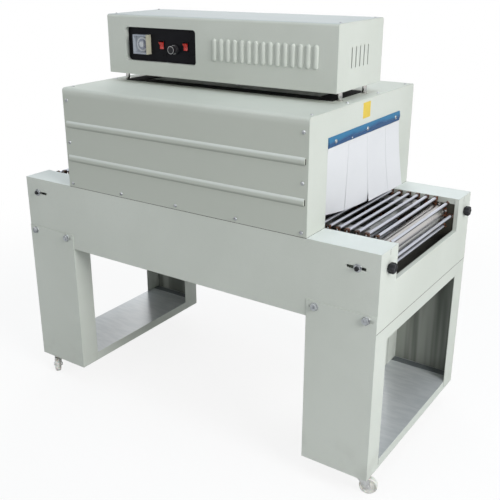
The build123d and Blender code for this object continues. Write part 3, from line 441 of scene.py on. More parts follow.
# %% Clamp strip and curtain cloth
STRIP_Z = middle_of("right_clamp_strip").z
blue = finishes["blue_strip"] = Finish("blue_film", Specular_IOR_Level=0.25)
above = blue.axis(blue.here, "Z") - STRIP_Z
# Lighter where the film has lifted, and lighter towards the top as painted light.
film_lift_and_painted_light = blue.between(blue.noise(16, 5, (1, 0.4, 2)) + 22 * above, 0.38, 0.7)
blue.feed(Base_Color=blue.mix((0.006, 0.065, 0.19), (0.035, 0.17, 0.32), film_lift_and_painted_light), Roughness=0.26 + 0.22 * film_lift_and_painted_light)
blue.bump(blue.noise(130, 4), 0.0004, 0.4)

cloth = finishes["curtain_cloth"] = Finish("coated_glass_cloth", Sheen_Weight=0.1)
weave = {"Vector": cloth.node("ShaderNodeUVMap", {"uv_map": "weave"}), "Scale": 260.0}
warp, weft = (cloth.node("ShaderNodeTexWave", {"bands_direction": way}, weave) for way in "XY")
crease = cloth.noise(9, 4)
cloth.feed(Base_Color=cloth.mix((0.7, 0.715, 0.74), (0.77, 0.78, 0.8), crease), Roughness=0.42 + 0.12 * warp)
cloth.bump(warp * weft + 1.5 * crease, 0.0003, 0.35)
print("finishes", len(finishes))

# %% [markdown]
# Each solid names its material slot in the record, so one loop gives every CAD node its finish. The
# chromed posts and the trays are the two exceptions inside a shared slot.

# %% Dress the CAD nodes
slots = {part["node"]: part["material_slot"] for part in frame["record"]["subparts"]}
own = {"control_posts": chrome, "leg_trays": tray}
for name, node in frame["nodes"].items():
    node.data.materials.clear()
    node.data.materials.append(own.get(name, finishes[slots[name]]).material)
print("dressed", len(slots))

# %% [markdown]
# New pieces ride on the bodies of the CAD model. `settle` makes a finished mesh such a piece and shades it
# smooth up to a crease angle. Finished pieces sit at the origin, with their place in the vertices, so Object
# coordinates mean the same for every piece.


# %% Settle a piece on its body
def mesh_of(name, form):
    """Keeps a bmesh as a mesh."""
    mesh = bpy.data.meshes.new(name)
    form.to_mesh(mesh)
    form.free()
    return mesh


def settle(name, form, finish, body, stands_for=(), crease=35):
    """Makes a bmesh or mesh a named piece that moves with a body."""
    mesh = mesh_of(name, form) if isinstance(form, bmesh.types.BMesh) else form
    mesh.name = name
    if finish:
        mesh.materials.clear()
        mesh.materials.append(finish.material)
    mesh.polygons.foreach_set("use_smooth", [True] * len(mesh.polygons))
    mesh.set_sharp_from_angle(angle=radians(crease))
    piece = added(name, mesh)
    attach(piece, body)
    if stands_for:
        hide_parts(*stands_for)
    print(name, len(mesh.polygons), "faces on", body)
    return piece


print("ready to settle pieces")

# %% [markdown]
# What repeats is grown by Geometry Nodes. The first tree lays one straight rod across each given point;
# its sizes are named inputs. The tree ends in Realize Instances and Set Material, and the
# evaluated result is kept as a plain mesh, because an export would drop live instances.


# %% Geometry Nodes: the shared frame of a tree
def new_tree(name, inputs):
    """Starts a tree with named inputs, which are given by their kinds."""
    tree = bpy.data.node_groups.new(name, "GeometryNodeTree")
    tree.interface.new_socket("Geometry", in_out="INPUT", socket_type="NodeSocketGeometry")
    for label, kind in inputs.items():
        tree.interface.new_socket(label, in_out="INPUT", socket_type="NodeSocket" + kind)
    tree.interface.new_socket("Geometry", in_out="OUTPUT", socket_type="NodeSocketGeometry")
    graph = Graph(tree)
    entry = tree.nodes.new("NodeGroupInput")
    given = {label: Value(graph, entry.outputs[label]) for label in ["Geometry", *inputs]}
    return graph, given


def end_tree(graph, given, instances):
    """Ends a tree in real geometry with its finish."""
    whole = graph.node("GeometryNodeRealizeInstances", {}, {0: instances})
    dressed = graph.node("GeometryNodeSetMaterial", {}, {"Geometry": whole, "Material": given["Finish"]})
    graph.tree.links.new(dressed.socket, graph.tree.nodes.new("NodeGroupOutput").inputs[0])
    return graph.tree


inputs = {"Radius": "Float", "Length": "Float", "Sides": "Int", "Finish": "Material"}
graph, given = new_tree("cross_rods", inputs)
measures = {"Vertices": given["Sides"], "Radius": given["Radius"], "Depth": given["Length"]}
bar = graph.node("GeometryNodeMeshCylinder", {}, measures)
lying = graph.node("GeometryNodeTransform", {}, {"Geometry": bar, "Rotation": (pi / 2, 0, 0)})
laid = graph.node("GeometryNodeInstanceOnPoints", {}, {"Points": given["Geometry"], "Instance": lying})
cross_rods = end_tree(graph, given, laid)
print("tree", cross_rods.name)

# %% [markdown]
# A tree needs points to work on. `grow` makes a mesh of bare points, each with the way that it faces and
# the way that it runs, sets the tree's inputs by their identifiers and settles the evaluated result.


# %% Grow a piece on points
def kept_mesh(holder):
    """Takes an object's evaluated mesh and removes the object."""
    bpy.context.view_layer.update()
    mesh = bpy.data.meshes.new_from_object(holder.evaluated_get(bpy.context.evaluated_depsgraph_get()))
    bpy.data.objects.remove(holder)
    return mesh


def grow(name, tree, places, values, body, stands_for=(), crease=35):
    """Runs a tree on points, given as (place, facing, along), and keeps the result as a piece."""
    seed = bpy.data.meshes.new(name + "_points")
    seed.from_pydata([spot[0] for spot in places], [], [])
    for index, label in ((1, "facing"), (2, "along")):
        directions = seed.attributes.new(label, "FLOAT_VECTOR", "POINT")
        directions.data.foreach_set("vector", [c for spot in places for c in spot[index]])
    holder = added(name + "_points", seed)
    modifier = holder.modifiers.new("grow", "NODES")
    modifier.node_group = tree
    for socket in tree.interface.items_tree:
        if socket.in_out == "INPUT" and socket.name in values:
            modifier[socket.identifier] = values[socket.name]
    return settle(name, kept_mesh(holder), None, body, stands_for, crease)


print("ready to grow pieces")

# %% [markdown]
# The conveyor is a loop of rods, one at every third link of two chains. Brackets hold the rods off the
# chain, so round the drums they spread like a fan. The places are worked out from the CAD rods: the
# straight runs give them directly, and the wraps carry on round the axles by the same distance along the
# chain's pitch circle.

# %% Rods
PITCH, ROD, PER_TURN, WRAP = 0.028575, 0.0048, 7, 3
STEP = 2 * pi / PER_TURN
CIRCLE = PITCH / STEP
ahead, across, up = Vector((1, 0, 0)), Vector((0, 1, 0)), Vector((0, 0, 1))
idler, drive = middle_of("idler_axle"), middle_of("drive_axle")
ORBIT = middle_of("upper_rods").z - idler.z
LIFT = ORBIT - CIRCLE


def run_places(node, film_lift_and_painted_light):
    """Each rod of a straight run: its centre, its chain point and the way the chain runs."""
    low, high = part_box(node)
    count = round((high.x - low.x - 2 * ROD) / PITCH) + 1
    centres = [Vector((low.x + ROD + i * PITCH, 0, (low.z + high.z) / 2)) for i in range(count)]
    return [(centre, centre - film_lift_and_painted_light * up, ahead) for centre in centres]


def wrap_places(axle, start):
    """The rods round an axle, from an angle on and clockwise seen from the front."""
    places = []
    for i in range(WRAP):
        a = start - i * STEP
        spoke = Vector((cos(a), 0, sin(a)))
        places.append((axle + ORBIT * spoke, axle + CIRCLE * spoke, Vector((sin(a), 0, -cos(a)))))
    return places


upper, lower = run_places("upper_rods", LIFT), run_places("return_rods", -LIFT)
idler_start = pi / 2 - STEP + (idler.x - upper[-1][0].x) / CIRCLE
drive_start = 3 * pi / 2 - STEP + (lower[0][0].x - drive.x) / CIRCLE
loops = {
    "upper": (upper, "upper_run"),
    "return": (lower, "return_run"),
    "idler": (wrap_places(idler, idler_start), "idler_roll"),
    "drive": (wrap_places(drive, drive_start), "drive_roll"),
}
rod_low, rod_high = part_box("upper_rods")
sizes = {"Radius": ROD, "Length": rod_high.y - rod_low.y, "Sides": 20, "Finish": rod.material}
for name, (places, body) in loops.items():
    spots = [(centre, ahead, up) for centre, _, _ in places]
    grow(name + "_tubes", cross_rods, spots, sizes, body, (name + "_rods",))

# %% [markdown]
# The second tree sets a ready-made pattern on every point, turned to the point's facing and, for screws,
# by a seeded random angle, because nobody tightens all screws to the same angle.

# %% Geometry Nodes: a pattern on every point
inputs = {"Pattern": "Object", "Spin": "Float", "Seed": "Int", "Finish": "Material"}
graph, given = new_tree("patterns", inputs)
shape = graph.node("GeometryNodeObjectInfo", {}, {"Object": given["Pattern"]}, out="Geometry")
vectors = {"data_type": "FLOAT_VECTOR"}
names = ("facing", "along")
facing, along = (graph.node("GeometryNodeInputNamedAttribute", vectors, {"Name": n}) for n in names)
tipped = graph.node("FunctionNodeAlignRotationToVector", {"axis": "Z"}, {"Vector": facing})
swung = {"Rotation": tipped, "Vector": along}
upright = graph.node("FunctionNodeAlignRotationToVector", {"axis": "X", "pivot_axis": "Z"}, swung)
draw = {"Min": 0.0, "Max": given["Spin"], "Seed": given["Seed"]}
angle = graph.node("FunctionNodeRandomValue", {"data_type": "FLOAT"}, draw, out=1)
spin = graph.node("FunctionNodeAxisAngleToRotation", {}, {"Axis": (0, 0, 1), "Angle": angle})
turns = {"Rotation": upright, "Rotate By": spin}
posed = graph.node("FunctionNodeRotateRotation", {"rotation_space": "LOCAL"}, turns)
copies = {"Points": given["Geometry"], "Instance": shape, "Rotation": posed}
patterns = end_tree(graph, given, graph.node("GeometryNodeInstanceOnPoints", {}, copies))
print("tree", patterns.name)

# %% [markdown]
# Turned and pressed shapes are easiest to give as outlines. `loft` joins outlines of equal count into a
# closed solid, and `turned` makes the outlines of lathe work from a profile of radius and height.


# %% Solids from outlines
def loft(form, outlines, ring=False):
    """Joins outlines of equal count into a solid; a ring closes on its first outline and has no ends."""
    rows = [[form.verts.new(place) for place in outline] for outline in outlines]
    for first, second in zip(rows, rows[1:] + rows[:1] if ring else rows[1:]):
        for i, corner in enumerate(first):
            j = (i + 1) % len(first)
            form.faces.new((corner, first[j], second[j], second[i]))
    if not ring:
        form.faces.new(rows[0][::-1])
        form.faces.new(rows[-1])
    return form


def outward(form):
    """Turns all faces of a bmesh outwards."""
    bmesh.ops.recalc_face_normals(form, faces=form.faces)
    return form


def standing(direction):
    """Turns +Z to a direction."""
    return Vector(direction).to_track_quat("Z", "Y").to_matrix().to_4x4()


def turned(form, profile, steps, place, direction, swell=None, ring=False):
    """Adds lathe work: (radius, height) pairs from one end to the other along a direction."""
    pose = Matrix.Translation(place) @ standing(direction)
    turns = [2 * pi * i / steps for i in range(steps)]
    outlines = []
    for radius, height in profile:
        polar = [(a, radius * (swell(a, height) if swell else 1)) for a in turns]
        outlines.append([pose @ Vector((r * cos(a), r * sin(a), height)) for a, r in polar])
    return loft(form, outlines, ring)


print("outline helpers ready")

# %% [markdown]
# Patterns are modelled once in bmesh with a few dozen faces: a cross-head screw, a hex bolt on its
# washer and a domed pin. They stand on z = 0, and stay in the scene only until the pieces are grown.

# %% Screws, bolts and pins as patterns
holders = []


def pattern(name, form):
    """Keeps a bmesh as a pattern until the end of the script."""
    holders.append(added(name, mesh_of(name, form)))
    return holders[-1]


def cross_screw(radius, height):
    """A domed head with a cross recess."""
    dome = (1, 0), (0.97, 0.45), (0.8, 0.85), (0.58, 1)
    arm = (0.48, -0.13), (0.48, 0.13), (0.15, 0.15)
    turns = [2 * pi * i / 12 for i in range(12)]
    quarters = [(cos(q * pi / 2), sin(q * pi / 2)) for q in range(4)]
    cross = [(radius * (c * x - s * y), radius * (s * x + c * y)) for c, s in quarters for x, y in arm]
    outlines = [[(r * radius * cos(a), r * radius * sin(a), z * height) for a in turns] for r, z in dome]
    outlines.append([(x, y, height) for x, y in cross])
    outlines.append([(0.8 * x, 0.8 * y, 0.35 * height) for x, y in cross])
    return outward(loft(bmesh.new(), outlines))


def hex_bolt(flats, head, washer, wall):
    """A chamfered hex head on a flat washer."""
    corner = flats / 2 / cos(pi / 6)
    ring = [(washer * 0.97, 0), (washer, wall * 0.4), (washer * 0.96, wall)]
    nut = [(corner, wall), (corner, wall + head * 0.82), (corner * 0.86, wall + head)]
    return turned(turned(bmesh.new(), ring, 24, Vector(), up), nut, 6, Vector(), up)


def domed_pin(radius, height):
    """A short pin with a domed head."""
    dome = [(radius, 0), (radius, height * 0.5), (radius * 0.55, height)]
    return turned(bmesh.new(), dome, 10, Vector(), up)


def fasten(name, shape, spots, seed, body="machine"):
    """Sets zinc fasteners on points, each turned by its own random angle."""
    values = {"Spin": pi, "Finish": zinc.material, "Pattern": shape, "Seed": seed}
    grow(name, patterns, spots, values, body)


small_screw = pattern("small_screw", cross_screw(0.0042, 0.0024))
panel_screw = pattern("panel_screw", cross_screw(0.0056, 0.003))
leg_bolt = pattern("leg_bolt", hex_bolt(0.0195, 0.0068, 0.0114, 0.0014))
axle_washer = pattern("axle_washer", hex_bolt(0.011, 0.003, 0.0115, 0.0022))
pin_head = pattern("pin_head", domed_pin(0.0026, 0.0022))
print("patterns", [holder.name for holder in holders])

# %% [markdown]
# Now the screws go where the photo shows them: down the ends and along the foot of the tunnel's sheets,
# along the roof's edges, on the clamp strips and on top of the control box. The back mirrors the front.

# %% Screws of the tunnel and the control box
FACE = reach("rear_rail").y
TUNNEL_END, ROOF = reach("tunnel_cover").x, reach("tunnel_cover").z
BOX_END, BOX_ROOF = reach("control_cover").x, reach("control_cover").z
STRIP_FACE = reach("right_clamp_strip").x
SCREW_X, HEAD_ROW, MIDDLE_ROW, FOOT_ROW = TUNNEL_END - 16, 1018, 886, 752
FOOT_X, ROOF_Y, LID_Y, STRIP_Y = (-213, 0, 213), (-290, -96, 96, 290), (-104, 104), (-190, 0, 190)
RIVET_Y, RIVET_Z = -92, 963
rows = (HEAD_ROW, MIDDLE_ROW, FOOT_ROW)
ends = [(k, x, z) for k in SIDES for x in (-SCREW_X, SCREW_X) for z in rows]
foot = [(k, x, FOOT_ROW) for k in SIDES for x in FOOT_X]
spots = [(at(x, k * FACE, z), k * across, ahead) for k, x, z in ends + foot]
fasten("tunnel_screws", panel_screw, spots, seed=4)
roof = [(k * (TUNNEL_END - 14), y, ROOF) for k in SIDES for y in ROOF_Y]
roof += [(k * (BOX_END - 12), y, BOX_ROOF) for k in SIDES for y in LID_Y]
fasten("roof_screws", small_screw, [(at(*place), up, ahead) for place in roof], seed=9)
holes = [(k, y) for k in SIDES for y in STRIP_Y]
spots = [(at(k * (STRIP_FACE - 0.2), y, 1000 * STRIP_Z), k * ahead, across) for k, y in holes]
fasten("strip_screws", panel_screw, spots, seed=2)
spots = [(at(k * (STRIP_FACE - 2), RIVET_Y, RIVET_Z), k * ahead, across) for k in SIDES]
fasten("strip_rivets", pin_head, spots, seed=3)

# %% [markdown]
# Hex bolts on washers hold the leg tabs to the bed through their slots. The axle bolts sit in the long web
# slots: the outfeed pair moves with the idler axle when the tension knobs are turned.

# %% Bolts of the legs and the axles
LEG_X, TAB_BOLTS, BOLT_Z = 547, (-77, 73), 554
TAB_FACE, WEB = reach("right_rear_post").y, FACE / 1000
WASHER_Y, HEAD_Y, SHANK_Y = WEB + 0.0001, WEB + 0.0053, WEB - 0.0025
HEAD = [(0.0064, 0), (0.0064, 0.004), (0.0046, 0.0056)]
SHANK = [(0.0036, 0), (0.0036, 0.0022)]
tabs = [(end * LEG_X + bolt, k) for end in SIDES for bolt in TAB_BOLTS for k in SIDES]
fasten("leg_bolts", leg_bolt, [(at(x, k * TAB_FACE, BOLT_Z), k * across, ahead) for x, k in tabs], seed=5)


def moved(point, y):
    """A point moved to another place across the machine."""
    return Vector((point.x, y, point.z))


for name, axle, body in (("idler_bolts", idler, "idler_carriage"), ("drive_bolts", drive, "machine")):
    spots = [(moved(axle, k * WASHER_Y), k * across, ahead) for k in SIDES]
    fasten(name, axle_washer, spots, seed=6, body=body)
    form = bmesh.new()
    for k in SIDES:
        turned(form, HEAD, 20, moved(axle, k * HEAD_Y), k * across)
        turned(form, SHANK, 12, moved(axle, k * SHANK_Y), k * across)
    settle(name + "_heads", form, satin, body)

# %% [markdown]
# Every rod ends in a bracket on the chain. A square clip of folded strip closes each bracket, with a
# riveted pin in its middle. Thin figure-eight plates outside the brackets are the chain's own links,
# three to a rod, joined by small pins. All of these are patterns for the same tree.

# %% Link plates, clips and small pins as patterns
LINKS = 3


def link_plate(length, radius, wall):
    """A flat plate with two round ends and a waist."""
    outline = []
    for end in (1, -1):
        for i in range(5):
            a = -pi / 2 + i * pi / 4
            outline.append((end * (length / 2 + radius * cos(a)), end * radius * sin(a)))
        outline.append((0, end * radius * 0.62))
    return loft(bmesh.new(), [[(x, y, z) for x, y in outline] for z in (0, wall)])


def square_clip(outer, inner, wall):
    """A square frame of flat strip."""
    corners = (1, 1), (-1, 1), (-1, -1), (1, -1)
    section = (outer, 0), (outer, wall), (inner, wall), (inner, 0)
    outlines = [[(x * r, y * r, z) for x, y in corners] for r, z in section]
    return outward(loft(bmesh.new(), outlines, ring=True))


plate = pattern("plate", link_plate(PITCH / LINKS, 0.0036, 0.0006))
clip = pattern("clip", square_clip(0.0058, 0.0036, 0.0014))
link_pin = pattern("link_pin", domed_pin(0.0016, 0.0009))
print("patterns", len(holders))

# %% [markdown]
# The rods' places carry over to the chains. Clips and pins sit on the rods' own line, and plates lie between
# one chain point and the next, in three steps.

# %% Chain clips, pins and link plates
PLATE_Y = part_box("upper_chain")[1].y
CLIP_Y = PLATE_Y - 0.002


def lay(name, shape, spots, finish, body, crease=35):
    """Sets a pattern on points as they face, with no random turn."""
    values = {"Pattern": shape, "Seed": 0, "Finish": finish.material}
    grow(name, patterns, spots, values, body, crease=crease)


for name, (places, body) in loops.items():
    spots = [(moved(centre, k * CLIP_Y), k * across, run) for centre, _, run in places for k in SIDES]
    lay(name + "_clips", clip, spots, chain, body)
    fasten(name + "_pins", pin_head, spots, seed=8, body=body)
    plates, joints = [], []
    for (_, first, _), (_, second, _) in zip(places, places[1:]):
        for k in SIDES:
            for link in range(LINKS):
                middle, start = (first.lerp(second, (link + share) / LINKS) for share in (0.5, 0))
                plates.append((moved(middle, k * PLATE_Y), k * across, second - first))
                joints.append((moved(start, k * PLATE_Y), k * across, ahead))
    lay(name + "_plates", plate, plates, oiled, body)
    fasten(name + "_link_pins", link_pin, joints, seed=1, body=body)

# %% [markdown]
# The control box breathes through a row of pressed louvres: long bulges with round ends. One is modelled
# as shrinking capsule outlines on a quarter ellipse, and the pattern tree repeats it.

# %% Louvres
COUNT, SPACING, ROW_X, ROW_Z = 15, 23.93, 176.5, 1175.5
box_front = 1000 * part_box("control_cover")[0].y + 3


def bulge(half_length, radius, proud):
    """A long bulge with round ends; it stands on z = 0."""
    outlines = []
    for share in (1.0, 0.94, 0.82, 0.64, 0.4, 0.15):
        outline, height = [], proud * (1 - share**2) ** 0.5
        for end in (1, -1):
            for i in range(8):
                a = -pi / 2 + i * pi / 7
                x = end * (half_length - radius + share * radius * cos(a))
                outline.append((x, end * share * radius * sin(a), height))
        outlines.append(outline)
    return loft(bmesh.new(), outlines)


louvre = pattern("louvre", bulge(0.033, 0.0084, 0.005))
row = [ROW_X + (i - COUNT // 2) * SPACING for i in range(COUNT)]
spots = [(at(x, box_front, ROW_Z), -across, up) for x in row]
lay("louvres", louvre, spots, paint, "machine", crease=70)

# %% [markdown]
# Where two sheets meet there is a thin dark line, and at each rib's end a small dark step is painted shadow.
# A low ridge is laid along each joint and rib end, because a line with a shape of its own stays sharp in
# every view and in the export.

# %% Joints of the sheets and painted shadows at the rib ends
BED_END, BED_TOP = reach("right_end_panel").x, reach("right_end_panel").z
BED_FOOT = reach("leg_headers").z
MOUTH, RIB_END, RIBS, HALF_RIB = 226, 429.8, (835, 943), 8
NOTCH_Y, NOTCH_FOOT, NOTCH_TOP = 268, 723, 739.5
TRAY_Y, TRAY_FOOT, TRAY_EDGE = 253, 80, 99


def bead(form, start, end, out, width, proud):
    """Adds a low ridge along a joint or a line of painted shadow, with places and sizes in millimetres."""
    start, end = at(*start), at(*end)
    wide = (end - start).normalized().cross(out) * width / 1000
    section = (-0.5, 0), (-0.35, 0.7), (0, 1), (0.35, 0.7), (0.5, 0)
    loft(form, [[place + wide * w + out * proud / 1000 * h for w, h in section] for place in (start, end)])


form = bmesh.new()
for k in SIDES:
    rear, right = k * FACE, k * BED_END
    bead(form, (-TUNNEL_END, rear, BED_TOP), (TUNNEL_END, rear, BED_TOP), k * across, 1.3, 0.4)
    bead(form, (right, -FACE, BED_FOOT), (right, FACE, BED_FOOT), k * ahead, 1.6, 0.3)
    notch = k * NOTCH_Y - 2
    bead(form, (BED_END, notch, NOTCH_FOOT), (BED_END, notch, NOTCH_TOP), ahead, 1.4, 0.2)
    for j in SIDES:
        wall, corner = k * TUNNEL_END, (k * ahead + up).normalized()
        bead(form, (wall, j * MOUTH, BED_TOP), (wall, j * FACE, BED_TOP), corner, 1.4, 0.4)
        bead(form, (right, j * TRAY_Y, TRAY_FOOT), (right, j * TRAY_Y, TRAY_EDGE), k * ahead, 1.4, 0.3)
        # The ridges at the ribs' ends are painted shadow.
        for z in RIBS:
            x, foot, top = j * RIB_END, z - HALF_RIB, z + HALF_RIB
            bead(form, (x, rear, foot), (x, rear, top), k * across, 2.4, 1.4)
# One piece holds the dark joints and the painted shadows at the rib ends.
settle("joints", outward(form), oiled, "machine")

# %% [markdown]
# Some sheets that the solids leave out. Bright flanges reach in from the conveyor's guide rails, a black
# board on the tunnel's roof under the control box is painted shadow, the right posts end in a folded lip,
# and dark strips at the back of the trays' decks are painted shade where the decks stop short of the posts.
# A plain yellow film sticks to the outfeed wall, above the mouth.

# %% Guide flanges, shadow board, post lips, shade strips of the trays and film
TRAY_TOP = reach("leg_trays").z
FLANGE_X, FLANGE_Y, FLANGE_Z = (-556, 547), (138, 168.8), (729.6, 731.4)
BOARD_X, BOARD_Y, HOLE_X, HOLE_Y, BOARD_Z = 378, 96, 318, 55, (ROOF + 0.1, ROOF + 2.4)
LIP_X, LIP_Y, LIP_Z = (444.1, 445.5), (238, 252.8), (TRAY_TOP + 0.5, 479)
SHADE_STRIP_X, SHADE_STRIP_Y, SHADE_STRIP_Z = (447, 647), (292, 321), (TRAY_TOP + 0.1, TRAY_TOP + 1.2)
FILM_X, FILM_Y, FILM_Z = (TUNNEL_END + 0.02, TUNNEL_END + 0.3), (-26, 20), (1003, 1047)


def rounded(form, width, segments=2):
    """Rounds the sharp edges of a bmesh."""
    sharp = [e for e in form.edges if e.is_manifold and e.calc_face_angle(0) > 0.5]
    bmesh.ops.bevel(form, geom=sharp, offset=width, segments=segments, affect="EDGES", profile=0.6)
    return form


def slab(form, one, other):
    """Adds a block between two opposite corners."""
    (x0, x1), (y0, y1), (z0, z1) = (sorted(pair) for pair in zip(one, other))
    corners = (x0, y0), (x1, y0), (x1, y1), (x0, y1)
    return loft(form, [[(x, y, z) for x, y in corners] for z in (z0, z1)])


def sheets(name, blocks, edge, finish):
    """Makes a piece of flat blocks, each given by its ranges along x, y and z in millimetres."""
    form = bmesh.new()
    for block in blocks:
        slab(form, *(at(*corner) for corner in zip(*block)))
    settle(name, rounded(form, edge, 1), finish, "machine")


def both(near, far):
    """A range and its mirror image."""
    return [(k * near, k * far) for k in SIDES]


blocks = [(FLANGE_X, y, FLANGE_Z) for y in both(*FLANGE_Y)]
sheets("guide_flanges", blocks, 0.0004, bright)
# The black board under the control box is painted shadow.
blocks = [((-BOARD_X, BOARD_X), y, BOARD_Z) for y in both(HOLE_Y, BOARD_Y)]
blocks += [(x, (0.2 - HOLE_Y, HOLE_Y - 0.2), BOARD_Z) for x in both(HOLE_X, BOARD_X)]
sheets("heat_board", blocks, 0.0005, shadow_black)
blocks = [(LIP_X, y, LIP_Z) for y in both(*LIP_Y)]
sheets("post_lips", blocks, 0.0005, paint)
# Dark strips on the trays' decks are painted shade.
blocks = [(x, y, SHADE_STRIP_Z) for x in both(*SHADE_STRIP_X) for y in both(*SHADE_STRIP_Y)]
sheets("tray_channels", blocks, 0.0003, enamel)
yellow = two_tone("yellow_film", (0.72, 0.5, 0.03), (0.82, 0.62, 0.07), 0.25, 0.2, (40, 3), Coat_Weight=0.3)
sheets("blank_film", [(FILM_X, FILM_Y, FILM_Z)], 0.0001, yellow)

# %% [markdown]
# The drums are turned from tube. A smooth sleeve lies over each flat-sided CAD drum.

# %% Drum sleeves
def mirrored(half, crown=()):
    """A profile that is alike on both sides of its middle."""
    return [(radius, -height) for radius, height in half] + list(crown) + half[::-1]


profile = mirrored([(0.0268, 0.1972), (0.0277, 0.1972), (0.0282, 0.1966)])
for name, axle in (("idler", idler), ("drive", drive)):
    form = turned(bmesh.new(), profile, 64, axle, across)
    settle(name + "_sleeve", form, drum, name + "_roll")

# %% [markdown]
# The tension knobs are moulded hand knobs with six lobes, a rounded rim and a shallow dish. A swell function
# presses the lobes into a turned profile. The screw behind the knob is part of the piece.

# %% Tension knobs
SCREW = [(0.005, 0), (0.005, 0.08)]
profile = [(0.0082, 0.0003), (0.0082, 0.002), (0.0092, 0.0024), (0.0134, 0.0027), (0.0146, 0.004)]
profile += [(0.015, 0.006), (0.015, 0.0145), (0.0144, 0.017), (0.0128, 0.0186)]
profile += [(0.0092, 0.0189), (0.0074, 0.0178)]


def lobes(angle, height):
    """Six lobes over the whole grip, but not over its neck."""
    return 1 - (0.1 * (1 - cos(6 * angle)) if height > 0.0025 else 0)


for name in ("front", "rear"):
    knob = 1000 * middle_of(name + "_tension_knob")
    form = turned(bmesh.new(), profile, 72, at(BED_END, knob.y, knob.z), ahead, lobes)
    turned(form, SCREW, 16, at(BED_END - 80, knob.y, knob.z), ahead)
    settle(name + "_hand_knob", form, satin, name + "_tension", (name + "_tension_knob",), 50)

# %% [markdown]
# The posts under the control box are chromed spacers with a foot ring. Turned profiles stand for the CAD
# model's plain pegs.

# %% Control posts
PEG = 6.5
POST_X, POST_Y = reach("control_posts").x - PEG, reach("control_posts").y - PEG
profile = [(0.0085, 0), (0.0085, 0.0022), (0.0066, 0.003), (0.0065, 0.0265), (0.0062, 0.028)]
form = bmesh.new()
for k in SIDES:
    for j in SIDES:
        turned(form, profile, 32, at(k * POST_X, j * POST_Y, ROOF), up)
settle("control_spacers", form, chrome, "machine", ("control_posts",))

# %% [markdown]
# Casters: a hard wheel with a crowned tread and a raised hub, turned on its own axle line, a ball race under
# the plate, and an axle nut on each cheek.

# %% Caster wheels and races
HEADINGS = {"left_front": -50, "left_rear": 50, "right_front": 20, "right_rear": 155}
TRAIL, CHEEK = 0.022, 0.0115
half = [(0.0046, 0.009), (0.0085, 0.009), (0.0092, 0.0084), (0.0096, 0.0066), (0.0185, 0.0062)]
half += [(0.0198, 0.0078), (0.0232, 0.0084), (0.0252, 0.007), (0.02595, 0.0042)]
tyre = mirrored(half, [(0.026, 0)])
nut = [(0.0058, 0), (0.0058, 0.0034), (0.005, 0.0042)]
race = [(0.0155, 0.0585), (0.0168, 0.0592), (0.0168, 0.0606), (0.016, 0.0613)]
for corner, heading in HEADINGS.items():
    hub, a = middle_of(corner + "_wheel"), radians(heading)
    axle = Vector((sin(a), -cos(a), 0))
    form = turned(bmesh.new(), tyre, 48, hub, axle)
    settle(corner + "_tyre", form, nylon, corner + "_roll", (corner + "_wheel",), 40)
    form = bmesh.new()
    for k in SIDES:
        turned(form, nut, 6, hub + axle * k * CHEEK, axle * k)
    pivot = hub - Vector((cos(a), sin(a), 0)) * TRAIL
    turned(form, race, 32, Vector((pivot.x, pivot.y, 0)), up)
    settle(corner + "_nuts", form, zinc, corner + "_swivel")

# %% [markdown]
# The controls. The rocker caps are soft-edged wedges, pressed at the foot. Each is built from the same
# side view as the CAD rocker and rounded with a bevel.

# %% Rocker caps
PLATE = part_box("fascia")[0].y
PRESSED, HALF_WIDTH = Matrix.Rotation(radians(10), 3, "X"), 7.9
outline = [(6, -8.9), (6, 8.9), (-9.6, 10.8), (-7.4, 5.2), (-5.1, 0), (-6.2, -5.2), (-8, -10.5)]
for name in ("heater", "conveyor"):
    hinge = Vector((middle_of(name + "_rocker").x, PLATE + 0.004, middle_of("switch_bezels").z))
    views = [[PRESSED @ Vector((k * HALF_WIDTH, y, z)) for y, z in outline] for k in SIDES]
    form = loft(bmesh.new(), [[hinge + corner / 1000 for corner in view] for view in views])
    rounded(outward(form), 0.0009, 3)
    settle(name + "_cap", form, red, name + "_switch", (name + "_rocker",), 60)

# %% [markdown]
# The speed knob is a fluted cap on a skirt, with two bright rings, one round its foot and one round its
# face. A short shaft joins it to the plate.

# %% Speed knob
forward = -across
knob_at = moved(middle_of("speed_knob"), PLATE - 0.0003)
profile = [(0.014, 0), (0.014, 0.004), (0.0132, 0.005), (0.0122, 0.0056), (0.0121, 0.0075)]
profile += [(0.0119, 0.0185), (0.0117, 0.0202), (0.0108, 0.0216), (0.0094, 0.022)]
shaft = [(0.003, 0), (0.003, 0.012)]


def flutes(angle, height):
    """Eighteen flutes between the skirt and the face."""
    return 1 - (0.035 * (1 - cos(18 * angle)) if 0.007 < height < 0.019 else 0)


form = turned(bmesh.new(), profile, 72, knob_at, forward, flutes)
turned(form, shaft, 16, knob_at - forward * 0.0125, forward)
settle("speed_cap", form, satin, "speed_setting", ("speed_knob",), 45)
form = bmesh.new()
for inner, outer, start, end in ((0.0116, 0.0134, 0.0052, 0.0072), (0.0101, 0.0119, 0.0203, 0.0222)):
    section = [(inner, start), (outer, start), (outer, end), (inner, end)]
    turned(form, section, 48, knob_at, forward, ring=True)
settle("speed_rings", form, chrome, "speed_setting")

# %% [markdown]
# The thermostat's dial sits in a well: a disc with a raised rim, a round grip and a ring of plain marks.
# Every third mark is longer.

